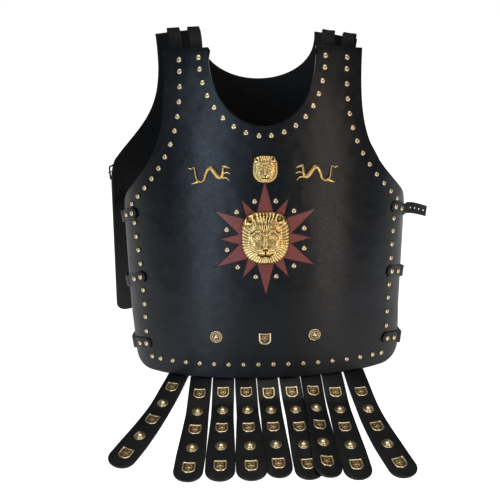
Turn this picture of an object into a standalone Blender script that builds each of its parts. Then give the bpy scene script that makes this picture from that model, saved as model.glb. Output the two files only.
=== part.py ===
"""Leather armour vest: a stiff riveted cuirass that stands by itself on the floor.

A front and a back panel of thick leather are bent round a general torso. Short straps join them
at the shoulders, and three strap and buckle pairs at each side. Nine skirt straps are riveted
behind the front's hem and fan out on the floor. Metres, +Z up, the front faces -Y.
"""
import bpy
import bmesh
import numpy as np
from math import cos, pi, radians, sin, tan
from mathutils import Matrix, Vector

# Leather and running gaps
PANEL_THICKNESS = 0.0035
SKIRT_THICKNESS = 0.0030
STRAP_THICKNESS = 0.0024
CHAPE_THICKNESS = 0.0022
GAP = 0.0004

# Middle of the whole vest in plan, taken off every place below so that the vest stands round its origin
ORIGIN = (-0.0000184, 0.0347283, 0.0)

# Where the two panels stand: hem centre, backward lean, sideways roll, turn about the vertical
FRONT_PLACE = dict(hem=(0.0, 0.0, 0.0166), lean=radians(15.0), roll=radians(-0.5), yaw=radians(1.6), facing=1)
BACK_PLACE = dict(hem=(-0.0215, 0.277, 0.01), lean=radians(5.0), roll=radians(0.9), yaw=0.0, facing=-1)

# Cross-section of each panel: half widths and depths of its curve to the left and to the right, the
# curve's squareness, its sideways skew with depth, its widening towards the hem, the sweep of its lowest
# flanks to one side, and how far the shoulder lobes lean over. The fastened straps pull the back's right
# side in, so it is narrower and deeper than the left one.
FRONT_SECTION = dict(half=(0.245, 0.245), depth=(0.126, 0.126), square=2.15, skew=0.065, flare=0.0,
                     sweep=0.034, lobe_from=0.40, lobe_bend=0.6)
BACK_SECTION = dict(half=(0.2445, 0.222), depth=(0.120, 0.138), square=2.15, skew=-0.05, flare=0.27,
                    sweep=0.0, lobe_from=0.42, lobe_bend=0.3)
FLARE_LEVEL = 0.30
SWEEP_LEVELS = (0.03, 0.10)
SECTION_END = radians(80.0)

# Flat patterns: distances from the centre line and heights above the hem
FRONT_CUT = dict(neck_half=0.081, neck_bottom=0.416, neck_centre=0.520, shoulder_top=0.533,
                 shoulder_outer=0.1555, shoulder_drop=0.004, arm_1=(0.149, 0.400), arm_2=(0.172, 0.362),
                 arm_end=(0.250, 0.303), side_top=(0.2645, 0.272), side_bottom=0.2525,
                 corner_wide=0.045, corner_high=0.030, neck_shift=0.0040)
BACK_CUT = dict(neck_half=0.0905, neck_bottom=0.446, neck_centre=0.516, shoulder_top=0.529,
                shoulder_outer=0.1610, shoulder_drop=0.003, arm_1=(0.153, 0.410), arm_2=(0.180, 0.380),
                arm_end=(0.250, 0.330), side_top=(0.2620, 0.292), side_bottom=0.2600,
                corner_wide=0.042, corner_high=0.032, neck_shift=0.0)
NECK_SHIFT_REACH = 0.055

# Round-headed brass rivets
RIVET_RADIUS = 0.0040
RIVET_TOP_RADIUS = 0.0022
RIVET_HEIGHT = 0.0022
RIVET_SIDES = 6
RIVET_SUNK = 0.0012

# Rivet rows on the front
HEM_RIVETS = 16
HEM_RIVET_PITCH = 0.0249
HEM_RIVET_MIDDLE = 0.0012
HEM_RIVET_HEIGHT = 0.0245
HEM_RIVET_FALL = 0.0135
# Rivets up each flank: height above the hem and distance from the panel's edge
SIDE_RIVETS_LEFT = ((0.0250, 0.0495), (0.0690, 0.0420), (0.0950, 0.0435), (0.1180, 0.0440), (0.1426, 0.0437),
                    (0.1880, 0.0425), (0.2112, 0.0400), (0.2339, 0.0378), (0.2572, 0.0362))
SIDE_RIVETS_RIGHT = ((0.0205, 0.0465), (0.0678, 0.0375), (0.0935, 0.0370), (0.1182, 0.0365), (0.1415, 0.0365),
                     (0.1873, 0.0360), (0.2113, 0.0360), (0.2340, 0.0355), (0.2553, 0.0352))
NECK_RIVETS = 18
NECK_RIVET_INSET = 0.0150
NECK_RIVET_ENDS = (0.0088, 0.0150)
NECK_RIVET_CLOSER = 0.85
ARM_RIVETS = 13
ARM_RIVET_CURVE = ((0.234, 0.288), (0.147, 0.359), (0.125, 0.412), (0.1285, 0.515))
ARM_RIVET_SHIFT = 0.0016
ARM_RIVET_CLOSER = 0.76
SUN_RIVETS = 12
SUN_RIVET_RADIUS = 0.0636
SUN_RIVET_PLACE = (0.0027, 0.2388)

# Shoulder straps: name, distance from the centre line on the front and on the back
SHOULDER_STRAPS = (("outer_left", -0.1350, -0.1330), ("inner_left", -0.1015, -0.1015),
                   ("inner_right", 0.1030, 0.1130), ("outer_right", 0.1335, 0.1480))
SHOULDER_HALF_WIDTH = 0.0094
SHOULDER_ARCH = ((0.25, 0.0040), (0.60, 0.0))

# Side straps: height of the first rivet, length of the patch up to the panel's edge, and its fall outwards
SIDE_STRAPS = dict(
    top_left=dict(height=0.2730, patch=0.044, fall=radians(16.0)),
    mid_left=dict(height=0.1655, patch=0.052, fall=radians(20.0)),
    bottom_left=dict(height=0.0475, patch=0.051, fall=radians(12.0)),
    top_right=dict(height=0.2750, patch=0.044, fall=radians(18.0)),
    mid_right=dict(height=0.1645, patch=0.044, fall=radians(12.0)),
    bottom_right=dict(height=0.0450, patch=0.046, fall=radians(12.0)),
)
STRAP_HALF_WIDTH = 0.0097
PATCH_RIVETS = (0.010, 0.028)
PATCH_SHARES = (0.0, 0.035, 0.10, 0.235, 0.47, 0.735, 1.0)
PATCH_STOP = 0.010
LOOSE_WAY = ((0.006, 0.008, -0.001), (0.018, 0.013, -0.004), (0.030, 0.0155, -0.008), (0.042, 0.0165, -0.012))
TUCKED_WAY = ((0.004, 0.022), (0.024, 0.044))
LOOSE_HOLES = (0.0060, 0.0145, 0.0228, 0.0315)
HOLE_RADIUS = 0.0015

# Buckles: height of each pair on the back, and how far its bar lies inside the panel's edge
BUCKLE_HEIGHTS = dict(top=0.3060, mid=0.1540, bottom=0.0440)
BUCKLE_INSETS = dict(top=0.022, mid=0.036, bottom=0.036)
PATCH_STATIONS = len(PATCH_SHARES) - 1
FASTENED_TURN = 14
BAR_RADIUS = 0.0016
FRAME_HEIGHT = 0.0276
FRAME_LENGTH = 0.0180
FRAME_CORNER = 0.0030
FRAME_HALF = 0.5 * FRAME_HEIGHT - BAR_RADIUS
CHAPE_HALF_WIDTH = 0.0090
CHAPE_LENGTH = 0.0340
CHAPE_RIVETS = (0.017, 0.027)
PRONG_RADIUS = 0.0009
PRONG_CLEARANCE = 0.00040
PRONG_RING = BAR_RADIUS + PRONG_CLEARANCE + PRONG_RADIUS
CHAPE_RING = BAR_RADIUS + 0.0008 + 0.5 * CHAPE_THICKNESS
CHAPE_LOW = GAP + 0.5 * CHAPE_THICKNESS
CHAPE_UPPER = CHAPE_LOW + CHAPE_THICKNESS + GAP
BAR_HEIGHT = CHAPE_LOW + CHAPE_RING
SLOT_HALF_WIDTH = 0.0015
SLOT_LENGTH = 0.0100
SLOT_REACH = 0.0120
SLOT_DEPTH = 0.024
SLIT_PLACE = 0.0085
SLIT_SIZE = (0.0160, 0.0030, 0.0026)
# A fastened strap's way through its buckle, from the panel's edge: distance from the bar and height over it
FASTENED_WAY = ((0.0400, -0.0022), (0.0300, -0.0030), (0.0200, -0.0034), (0.0150, -0.0020), (0.0105, 0.0016),
                (0.0060, 0.0052), (0.0010, 0.0068), (-0.0050, 0.0067), (-0.0150, 0.0055), (-0.0330, 0.0042))

# Skirt straps: where each leaves the hem, its half width there, its tip on the floor, how far it bows
# sideways between them, its half width near the tip, how high its underside lies, its tilt, how far out
# it has sunk to that height, the last shield's distance from the tip and the ornaments' pitch
SKIRT_STRAPS = (
    dict(root=-0.1530, root_half=0.0184, tip=(-0.2230, -0.1785), bow=0.0062, half=0.0220, lift=0.0, tilt=0.0,
         settle=0.086, last=0.0275, pitch=0.0385),
    dict(root=-0.1105, root_half=0.0184, tip=(-0.1165, -0.2066), bow=0.0015, half=0.0220, lift=0.0, tilt=0.0,
         settle=0.088, last=0.0250, pitch=0.0385),
    dict(root=-0.0712, root_half=0.0181, tip=(-0.0690, -0.2056), bow=0.0, half=0.0222, lift=0.0, tilt=0.0,
         settle=0.055, last=0.0274, pitch=0.0385),
    dict(root=-0.0338, root_half=0.0178, tip=(-0.0222, -0.2074), bow=0.0, half=0.0228, lift=0.0035, tilt=0.0,
         settle=0.060, last=0.0264, pitch=0.0385),
    dict(root=0.0030, root_half=0.0177, tip=(0.0183, -0.1992), bow=0.0, half=0.0201, lift=0.0, tilt=0.0,
         settle=0.040, last=0.0259, pitch=0.0373),
    dict(root=0.0405, root_half=0.0176, tip=(0.0624, -0.2024), bow=0.0, half=0.0214, lift=0.0, tilt=0.0,
         settle=0.045, last=0.0280, pitch=0.0382),
    dict(root=0.0766, root_half=0.0175, tip=(0.0890, -0.2012), bow=0.0, half=0.0212, lift=0.0032,
         tilt=radians(7.5), settle=0.060, last=0.0295, pitch=0.0373),
    dict(root=0.1130, root_half=0.0181, tip=(0.1330, -0.2026), bow=-0.0010, half=0.0214, lift=0.0, tilt=0.0,
         settle=0.060, last=0.0272, pitch=0.0385),
    dict(root=0.1530, root_half=0.0185, tip=(0.2030, -0.1980), bow=-0.0075, half=0.0220, lift=0.0, tilt=0.0,
         settle=0.115, last=0.0275, pitch=0.0385),
)
SKIRT_GAP = 0.0009
SKIRT_ROOT_HEIGHT = 0.0400
SKIRT_TIP_DEPTH = 0.0205
SKIRT_TIP_POWER = 2.2
SKIRT_WIDENS = (0.080, 0.165)
SKIRT_TURNS = (0.006, 0.042)
SKIRT_SINK = (0.45, 0.55)

# Brass ornaments
SHIELD_HALF = 0.0105
SHIELD_HIGH = 0.0212
SHIELD_THICK = 0.0020
ORNAMENT_SUNK = 0.0005
PLATE_BEVEL = 0.0012
DOME_PROFILE = ((0.0090, 0.0), (0.0090, 0.0012), (0.0052, 0.0028), (0.0020, 0.0054))
CONCHO_PROFILE = ((0.0102, 0.0), (0.0102, 0.0012), (0.0082, 0.0022), (0.0050, 0.0024), (0.0020, 0.0040))
ORNAMENT_SIDES = 8
LION_PLACE = (0.0026, 0.2402)
LION_HALF = (0.0380, 0.0428)
LION_HEIGHT = 0.0130
SMALL_LION_PLACE = (0.0035, 0.3500)
SMALL_LION_HALF = (0.0196, 0.0212)
SMALL_LION_HEIGHT = 0.0055
SERPENT_PLACES = ((-0.0832, 0.3418, 1), (0.0828, 0.3408, -1))
SERPENT_UNIT = 0.00090
SERPENT_HEIGHTS = (0.0036, 0.0024)
CONCHO_PLACES = ((-0.0804, 0.0742), (0.0820, 0.0738))
SMALL_SHIELD_PLACE = (0.0002, 0.0707)

COLOURS = dict(
    leather=((0.012, 0.014, 0.019, 1.0), 0.38, 0.0),
    leather_strap=((0.014, 0.015, 0.018, 1.0), 0.45, 0.0),
    brass=((0.62, 0.47, 0.20, 1.0), 0.35, 1.0),
    black_metal=((0.02, 0.02, 0.022, 1.0), 0.35, 0.8),
)


def clear_scene():
    for thing in list(bpy.data.objects):
        bpy.data.objects.remove(thing)


def make_materials():
    made = {}
    for name, (colour, rough, metal) in COLOURS.items():
        material = bpy.data.materials.new(name)
        material.use_nodes = True
        shader = material.node_tree.nodes["Principled BSDF"]
        shader.inputs["Base Color"].default_value = colour
        shader.inputs["Roughness"].default_value = rough
        shader.inputs["Metallic"].default_value = metal
        made[name] = material
    return made


def section_curve(half, depth, square):
    """Half of a panel's cross-section: a superellipse up to its end slope, as x, y, slope and arc length."""
    turn = np.linspace(0.0, pi / 2, 1400)
    x = half * np.sin(turn) ** (2.0 / square)
    y = depth * (1.0 - np.cos(turn) ** (2.0 / square))
    slope = np.arctan2(np.gradient(y), np.gradient(x))
    keep = slope <= SECTION_END
    x = x[keep]
    y = y[keep]
    arc = np.concatenate([[0.0], np.cumsum(np.hypot(np.diff(x), np.diff(y)))])
    return x, y, slope[keep], arc


def on_curve(curve, size, n):
    """x and y at an arc length, n off the curve. Past the curve's end its last tangent goes on."""
    x, y, slope, arc = curve
    size = np.maximum(size, 0.0)
    turned = np.interp(size, arc, slope)
    past = np.maximum(size - arc[-1], 0.0)
    at_x = np.interp(size, arc, x) + past * np.cos(turned) + n * np.sin(turned)
    at_y = np.interp(size, arc, y) + past * np.sin(turned) - n * np.cos(turned)
    return at_x, at_y


class Panel:
    """A leather panel as a surface: s along its curve, t up it, n outwards from its outer face."""

    def __init__(self, place, section, cut):
        self.cut = cut
        self.section = section
        self.facing = place["facing"]
        self.curves = [section_curve(half, depth, section["square"])
                       for half, depth in zip(section["half"], section["depth"])]
        lean = Matrix.Rotation(-place["lean"] * self.facing, 3, "X")
        roll = Matrix.Rotation(place["roll"], 3, "Y")
        yaw = Matrix.Rotation(place["yaw"], 3, "Z")
        self.turn = np.array(yaw @ roll @ lean)
        self.hem = np.array(place["hem"]) - np.array(ORIGIN)

    def points(self, s, t, n):
        """World points of the panel's surface, n off it."""
        s, t, n = np.broadcast_arrays(*(np.asarray(v, float) for v in (s, t, n)))
        left = on_curve(self.curves[0], -s, n)
        right = on_curve(self.curves[1], s, n)
        x = np.where(s < 0, -left[0], right[0])
        y = np.where(s < 0, left[1], right[1])
        y = y + self.section["lobe_bend"] * np.maximum(t - self.section["lobe_from"], 0.0) ** 2
        low, high = SWEEP_LEVELS
        swept = self.section["sweep"] * np.clip((high - t) / (high - low), 0.0, 1.0)
        widened = 1.0 + self.section["flare"] * np.maximum(FLARE_LEVEL - t, 0.0)
        x = x * widened + (self.section["skew"] + swept) * y
        local = np.stack([x, self.facing * y, t], axis=-1)
        return local @ self.turn.T + self.hem

    def frame(self, s, t, n=0.0):
        """Matrix with X along growing s, Y up the panel and Z outwards, at a point of the surface."""
        step = 0.0005
        origin = self.points(s, t, n)
        across = self.points(s + step, t, n) - self.points(s - step, t, n)
        up = self.points(s, t + step, n) - self.points(s, t - step, n)
        across = across / np.linalg.norm(across)
        outward = np.cross(across, up) * self.facing
        outward = outward / np.linalg.norm(outward)
        upward = np.cross(outward, across)
        matrix = Matrix.Identity(4)
        for column, axis in enumerate((across, upward, outward)):
            for row in range(3):
                matrix[row][column] = axis[row]
        matrix.translation = Vector(origin)
        return matrix


def bezier(points, steps):
    """A Bezier curve through its first and last point, as steps + 1 points."""
    points = [np.array(p, float) for p in points]
    rows = []
    for k in range(steps + 1):
        level = points
        while len(level) > 1:
            level = [a + (b - a) * k / steps for a, b in zip(level, level[1:])]
        rows.append(level[0])
    return np.array(rows)


def joined(*runs):
    """Several runs of points as one, each shared end point kept once."""
    return np.concatenate([runs[0]] + [run[1:] for run in runs[1:]])


def straight(start, end, steps):
    return np.linspace(start, end, steps + 1)


def neck_curve(cut, steps):
    """From the neck's lowest point round to the shoulder's inner corner: a quarter ellipse, then straight."""
    turn = np.linspace(0.0, pi / 2, steps)
    drop = cut["neck_centre"] - cut["neck_bottom"]
    arc = np.stack([cut["neck_half"] * np.sin(turn), cut["neck_centre"] - drop * np.cos(turn)], axis=1)
    return np.vstack([arc, (cut["neck_half"], cut["shoulder_top"])])


def arm_curve(cut, steps):
    """Armhole from the side's top corner up to the shoulder's outer corner."""
    outer = (cut["shoulder_outer"], cut["shoulder_top"] - cut["shoulder_drop"])
    return bezier((cut["arm_end"], cut["arm_2"], cut["arm_1"], outer), steps)


def cut_outline(cut):
    """Four sides of a half pattern: hem, side with armhole, neck with shoulder, and centre line."""
    corner = (cut["side_bottom"] - cut["corner_wide"], cut["corner_high"])
    turn = np.linspace(-pi / 2, 0.0, 5)
    arc = np.stack([corner[0] + cut["corner_wide"] * np.cos(turn),
                    corner[1] + cut["corner_high"] * np.sin(turn)], axis=1)
    hem = joined(straight((0.0, 0.0), arc[0], 9), arc[:3])
    corner, high = cut["side_top"]
    top_corner = bezier(((corner, high), (corner, high + 0.020), cut["arm_end"]), 2)
    side = joined(arc[2:], straight(arc[-1], cut["side_top"], 3), top_corner, arm_curve(cut, 7))
    neck = joined(neck_curve(cut, 9), straight((cut["neck_half"], cut["shoulder_top"]), side[-1], 2))
    centre = straight(hem[0], neck[0], len(side) - 1)
    return hem, side, neck, centre


def cut_grid(cut):
    """The half pattern filled from its four sides, mirrored: an array of (row, column, s and t)."""
    hem, side, neck, centre = cut_outline(cut)
    u = np.linspace(0.0, 1.0, len(hem))[None, :, None]
    v = np.linspace(0.0, 1.0, len(side))[:, None, None]
    grid = (1 - v) * hem[None] + v * neck[None] + (1 - u) * centre[:, None] + u * side[:, None]
    grid -= (1 - u) * (1 - v) * hem[0] + u * (1 - v) * hem[-1] + (1 - u) * v * neck[0] + u * v * neck[-1]
    mirrored = grid[:, :0:-1] * np.array([-1.0, 1.0])
    return shifted_neck(np.concatenate([mirrored, grid], axis=1), cut)


def shifted_neck(spots, cut):
    """The neck's lower edge is cut a little to one side, so points of the pattern near it move along s."""
    s = spots[..., 0]
    t = spots[..., 1]
    near = np.exp(-((t - cut["neck_bottom"]) / NECK_SHIFT_REACH) ** 2)
    near = near * np.clip((s + 0.10) / 0.08, 0.0, 1.0) * np.clip((0.14 - s) / 0.06, 0.0, 1.0)
    return np.stack([s + cut["neck_shift"] * near, t], axis=-1)


def new_object(name, mesh, material, group):
    thing = bpy.data.objects.new(name, mesh)
    if material is not None:
        mesh.materials.append(material)
    group.objects.link(thing)
    return thing


def sheet_mesh(name, rows):
    """Open sheet of quads over an array of (row, column, xyz)."""
    high, wide = rows.shape[:2]
    index = np.arange(high * wide).reshape(high, wide)
    quads = np.stack([index[:-1, :-1], index[:-1, 1:], index[1:, 1:], index[1:, :-1]], axis=-1)
    mesh = bpy.data.meshes.new(name)
    mesh.from_pydata(rows.reshape(-1, 3).tolist(), [], quads.reshape(-1, 4).tolist())
    mesh.update()
    return mesh


def add_wall(thing, thickness, offset):
    wall = thing.modifiers.new("wall", "SOLIDIFY")
    wall.thickness = thickness
    wall.offset = offset
    wall.use_even_offset = True


def add_boolean(thing, other, operation):
    step = thing.modifiers.new(other.name, "BOOLEAN")
    step.operation = operation
    step.object = other
    step.solver = "EXACT"


def cutter_object(name, mesh, group):
    thing = new_object(name, mesh, None, group)
    thing.hide_render = True
    thing.display_type = "WIRE"
    return thing


def cut_box(thing, name, matrix, centre, size, group):
    """Cuts a box out of an object, its centre and size given along the axes of a matrix."""
    bm = bmesh.new()
    bmesh.ops.create_cube(bm, size=1.0)
    mesh = bpy.data.meshes.new(name)
    bm.to_mesh(mesh)
    bm.free()
    box = cutter_object(name, mesh, group)
    box.matrix_world = matrix @ Matrix.Translation(centre) @ Matrix.Diagonal((*size, 1.0))
    add_boolean(thing, box, "DIFFERENCE")


def stud_mesh(name, places, profile, sides):
    """Turned studs, one at each matrix: rings of a (radius, height) profile with a flat top."""
    bm = bmesh.new()
    for place in places:
        rings = []
        for radius, height in profile:
            ring = []
            for k in range(sides):
                angle = 2 * pi * k / sides
                spot = place @ Vector((radius * cos(angle), radius * sin(angle), height))
                ring.append(bm.verts.new(spot))
            rings.append(ring)
        bm.faces.new(rings[0][::-1])
        bm.faces.new(rings[-1])
        for low, high in zip(rings, rings[1:]):
            for k in range(sides):
                nxt = (k + 1) % sides
                bm.faces.new((low[k], low[nxt], high[nxt], high[k]))
    mesh = bpy.data.meshes.new(name)
    bm.to_mesh(mesh)
    bm.free()
    return mesh


def rivet_profile(sunk=RIVET_SUNK):
    return ((RIVET_RADIUS, -sunk), (RIVET_RADIUS, 0.0004), (RIVET_TOP_RADIUS, RIVET_HEIGHT))


def plate_mesh(name, outline, thick, to_world):
    """A flat plate with chamfered top edges. to_world bends points (x, y, height) onto their seat."""
    bm = bmesh.new()
    outline = np.array(outline, float)
    middle = outline.mean(axis=0)
    inner = middle + (outline - middle) * (1.0 - PLATE_BEVEL / np.abs(outline - middle).max())
    rings = []
    for ring, height in ((outline, 0.0), (inner, thick)):
        spots = to_world(ring[:, 0], ring[:, 1], np.full(len(ring), height))
        rings.append([bm.verts.new(spot) for spot in spots])
    low = bm.faces.new(rings[0][::-1])
    top = bm.faces.new(rings[-1])
    for a, b in zip(rings, rings[1:]):
        for k in range(len(outline)):
            nxt = (k + 1) % len(outline)
            bm.faces.new((a[k], a[nxt], b[nxt], b[k]))
    bmesh.ops.triangulate(bm, faces=[low, top])
    mesh = bpy.data.meshes.new(name)
    bm.to_mesh(mesh)
    bm.free()
    return mesh


def shield_outline(half, high):
    """A shield: a slightly hollow top between two pointed corners, upright sides and a round foot."""
    right = ((1.0, 0.50), (0.97, 0.02), (0.80, -0.30), (0.40, -0.47))
    points = [(half * x, high * y) for x, y in right]
    left = [(-x, y) for x, y in reversed(points)]
    return list(reversed([(0.0, high * 0.44)] + points + [(0.0, -high * 0.5)] + left))


def join_meshes(name, meshes):
    bm = bmesh.new()
    for mesh in meshes:
        bm.from_mesh(mesh)
        bpy.data.meshes.remove(mesh)
    mesh = bpy.data.meshes.new(name)
    bm.to_mesh(mesh)
    bm.free()
    return mesh


def unit(v):
    return v / np.linalg.norm(v, axis=-1, keepdims=True)


def ribbon_mesh(name, centres, sides, halves):
    """Open strip along a path: each station is a centre, a sideways unit vector and a half width."""
    centres = np.array(centres)
    reach = unit(np.array(sides)) * np.array(halves)[:, None]
    return sheet_mesh(name, np.stack([centres - reach, centres + reach], axis=1))


def smooth_path(points, steps):
    """A smooth curve through every point (Catmull-Rom), with steps pieces between neighbours."""
    points = np.array(points, float)
    padded = np.vstack([2 * points[0] - points[1], points, 2 * points[-1] - points[-2]])
    rows = []
    for k in range(len(points) - 1):
        a, b, c, d = padded[k:k + 4]
        for j in range(steps):
            f = j / steps
            rows.append(0.5 * (2 * b + (c - a) * f + (2 * a - 5 * b + 4 * c - d) * f ** 2
                               + (3 * b - a - 3 * c + d) * f ** 3))
    rows.append(points[-1])
    return np.array(rows)


def rounded_end(halves, reach):
    """Half widths that close in a rounded end over the last stations, reach = distance to the tip."""
    halves = np.array(halves, float)
    depth = halves[-1]
    near = np.clip(1.0 - np.array(reach) / depth, 0.0, 0.985)
    return halves * np.sqrt(1.0 - near ** 2)


# Panels

def front_rivet_places(front):
    """Every rivet of the front as (s, t): hem, sides, neck, armholes and the ring round the sunburst."""
    cut = front.cut
    spots = []
    for k in range(HEM_RIVETS):
        s = HEM_RIVET_MIDDLE + (k - (HEM_RIVETS - 1) / 2) * HEM_RIVET_PITCH
        spots.append((s, HEM_RIVET_HEIGHT - HEM_RIVET_FALL * max(s, 0.0)))
    for side, rows in ((-1, SIDE_RIVETS_LEFT), (1, SIDE_RIVETS_RIGHT)):
        spots += [(side * (panel_edge(cut, t) - inset), t) for t, inset in rows]
    neck = neck_rivet_row(cut)
    arm = arm_rivet_row()
    for side in (-1, 1):
        spots += [tuple(spot) for spot in shifted_neck(neck * np.array([side, 1.0]), cut)]
        spots += [(side * s + ARM_RIVET_SHIFT, t) for s, t in arm]
    for k in range(SUN_RIVETS):
        angle = 2 * pi * (k + 0.5) / SUN_RIVETS
        spots.append((SUN_RIVET_PLACE[0] + SUN_RIVET_RADIUS * sin(angle),
                      SUN_RIVET_PLACE[1] + SUN_RIVET_RADIUS * cos(angle)))
    return spots


def even_spots(curve, count, start, end, closer):
    """Points along a polyline, start and end from its two ends, evenly spaced but for a closer last pair."""
    steps = np.linalg.norm(np.diff(curve, axis=0), axis=1)
    length = np.concatenate([[0.0], np.cumsum(steps)])
    share = np.append(np.arange(count - 1), count - 2 + closer) / (count - 2 + closer)
    at = start + (length[-1] - end - start) * share
    return np.stack([np.interp(at, length, curve[:, k]) for k in (0, 1)], axis=1)


def offset_curve(curve, distance):
    """The polyline moved to its left by a distance."""
    along = unit(np.gradient(curve, axis=0))
    return curve + distance * np.stack([-along[:, 1], along[:, 0]], axis=1)


def neck_rivet_row(cut):
    curve = offset_curve(neck_curve(cut, 24), -NECK_RIVET_INSET)
    return even_spots(curve, NECK_RIVETS // 2, *NECK_RIVET_ENDS, NECK_RIVET_CLOSER)


def arm_rivet_row():
    return even_spots(bezier(ARM_RIVET_CURVE, 24), ARM_RIVETS, 0.0, 0.0, ARM_RIVET_CLOSER)


def make_panel(name, panel, rivets, material, group, cutters):
    grid = cut_grid(panel.cut)
    if panel.facing < 0:
        grid = grid[:, ::-1]
    rows = panel.points(grid[..., 0], grid[..., 1], 0.0)
    thing = new_object(name, sheet_mesh(name, rows), material, group)
    add_wall(thing, PANEL_THICKNESS, -1.0)
    if rivets:
        places = [panel.frame(s, t) for s, t in rivets]
        heads = stud_mesh(name + "_rivets", places, rivet_profile(), RIVET_SIDES)
        add_boolean(thing, cutter_object(name + "_rivets", heads, cutters), "UNION")
    return thing


# Shoulder straps

def shoulder_strap(name, front, back, s_front, s_back, material, group, cutters):
    """From behind the front's lobe, over the back's top edge and down its outer face."""
    deep = -(PANEL_THICKNESS + GAP + 0.0022 + 0.5 * STRAP_THICKNESS)
    high = 0.5 * STRAP_THICKNESS + GAP
    front_top = front.cut["shoulder_top"]
    back_top = back.cut["shoulder_top"]
    route = [front.points(s_front, front_top - 0.040, deep),
             front.points(s_front, front_top - 0.018, deep),
             front.points(s_front, front_top + 0.004, deep)]
    start = route[-1]
    edge = back.points(s_back, back_top + 0.0038, -0.0050)
    for share, drop in SHOULDER_ARCH:
        middle = start + (edge - start) * share
        route.append(np.array([middle[0], middle[1], edge[2] - drop]))
    route += [edge,
              back.points(s_back, back_top + 0.0036, -0.0010),
              back.points(s_back, back_top + 0.0012, high + 0.0014),
              back.points(s_back, back_top - 0.0040, high + 0.0008),
              back.points(s_back, back_top - 0.0240, high + 0.0002),
              back.points(s_back, back_top - 0.0500, high + 0.0002)]
    centres = smooth_path(route, 2)
    start = np.array(front.frame(s_front, front_top - 0.02).col[0][:3])
    end = np.array(back.frame(s_back, back_top - 0.02).col[0][:3])
    share = np.linspace(0.0, 1.0, len(centres))[:, None]
    sides = unit(start * (1 - share) + end * share)
    halves = np.full(len(centres), SHOULDER_HALF_WIDTH)
    thing = new_object(name, ribbon_mesh(name, centres, sides, halves), material, group)
    add_wall(thing, STRAP_THICKNESS, 0.0)
    level = high + 0.0002 + 0.5 * STRAP_THICKNESS
    places = [back.frame(s_back, back_top - drop, level) for drop in (0.020, 0.040)]
    heads = stud_mesh(name + "_rivets", places, rivet_profile(), RIVET_SIDES)
    add_boolean(thing, cutter_object(name + "_rivets", heads, cutters), "UNION")
    return thing


# Side straps

def panel_edge(cut, t):
    """Distance of a panel's side edge from the centre line at height t."""
    share = np.clip(t / cut["side_top"][1], 0.0, 1.0)
    return cut["side_bottom"] + (cut["side_top"][0] - cut["side_bottom"]) * share


def patch_spot(front, side, row, along):
    """Place (s, t) on the front's flank at a distance along a side strap from its riveted end."""
    edge = panel_edge(front.cut, row["height"])
    s = edge - row["patch"] + along * cos(row["fall"])
    return side * s, row["height"] - (along - PATCH_RIVETS[0]) * sin(row["fall"])


def patch_exit(front, side, row, beyond):
    """Place (s, t) where the strap's line has come a distance beyond the panel's edge."""
    return patch_spot(front, side, row, (row["patch"] + beyond) / cos(row["fall"]))


def patch_route(front, side, row):
    """The riveted end of a side strap on the front's flank: its stations as points."""
    lift = GAP + 0.5 * STRAP_THICKNESS
    reach = row["patch"] - PATCH_STOP
    return [front.points(*patch_spot(front, side, row, share * reach), lift) for share in PATCH_SHARES]


def strap_sides(front, side, row, count, end_side, turned_at):
    """Widthwise vectors: square to the patch on the flank, turned to end_side by a given station."""
    s, t = patch_spot(front, side, row, 0.5 * row["patch"])
    seat = front.frame(s, t)
    start = np.array(seat.col[1][:3]) * cos(row["fall"]) + np.array(seat.col[0][:3]) * side * sin(row["fall"])
    share = np.clip((np.arange(count) - PATCH_STATIONS) / (turned_at - PATCH_STATIONS), 0.0, 1.0)[:, None]
    return unit(start * (1 - share) + np.array(end_side) * share)


def axes_matrix(x, y, z, place):
    """A matrix from three axes and a place."""
    matrix = Matrix.Identity(4)
    for column, axis in enumerate((x, y, z, place)):
        for line in range(3):
            matrix[line][column] = axis[line]
    return matrix


def hole_places(centres, sides, length, holes):
    """A matrix at each hole of a strap, Z through the strap. Holes are distances from its tip."""
    places = []
    for back_from_tip in holes:
        at = length[-1] - back_from_tip
        k = int(np.argmin(np.abs(at - length)))
        along = unit(centres[min(k + 1, len(centres) - 1)] - centres[k - 1])
        out = unit(np.cross(along, sides[k]))
        spot = [np.interp(at, length, centres[:, c]) for c in range(3)]
        places.append(axes_matrix(along, np.cross(out, along), out, spot))
    return places


def side_strap(name, front, side, row, far, end_side, far_round, holes, material, group, cutters):
    """A side strap: its patch on the flank, then a smooth run through the points of far."""
    patch = patch_route(front, side, row)
    centres = np.vstack([patch[:-1], smooth_path([patch[-1]] + list(far), 3)])
    length = np.concatenate([[0.0], np.cumsum(np.linalg.norm(np.diff(centres, axis=0), axis=1))])
    halves = rounded_end(np.full(len(centres), STRAP_HALF_WIDTH), length)
    if far_round:
        halves = np.minimum(halves, rounded_end(np.full(len(centres), STRAP_HALF_WIDTH), length[-1] - length))
    turned_at = FASTENED_TURN if far_round else len(centres) - 1
    sides = strap_sides(front, side, row, len(centres), end_side, turned_at)
    thing = new_object(name, ribbon_mesh(name, centres, sides * side, halves), material, group)
    add_wall(thing, STRAP_THICKNESS, 0.0)
    top = GAP + STRAP_THICKNESS
    places = [front.frame(*patch_spot(front, side, row, reach), top) for reach in PATCH_RIVETS]
    heads = stud_mesh(name + "_rivets", places, rivet_profile(), RIVET_SIDES)
    add_boolean(thing, cutter_object(name + "_rivets", heads, cutters), "UNION")
    if holes:
        profile = ((HOLE_RADIUS, -STRAP_THICKNESS), (HOLE_RADIUS, STRAP_THICKNESS))
        punch = stud_mesh(name + "_holes", hole_places(centres, sides, length, holes), profile, RIVET_SIDES)
        add_boolean(thing, cutter_object(name + "_holes", punch, cutters), "DIFFERENCE")
    return thing


# Buckles

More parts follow.
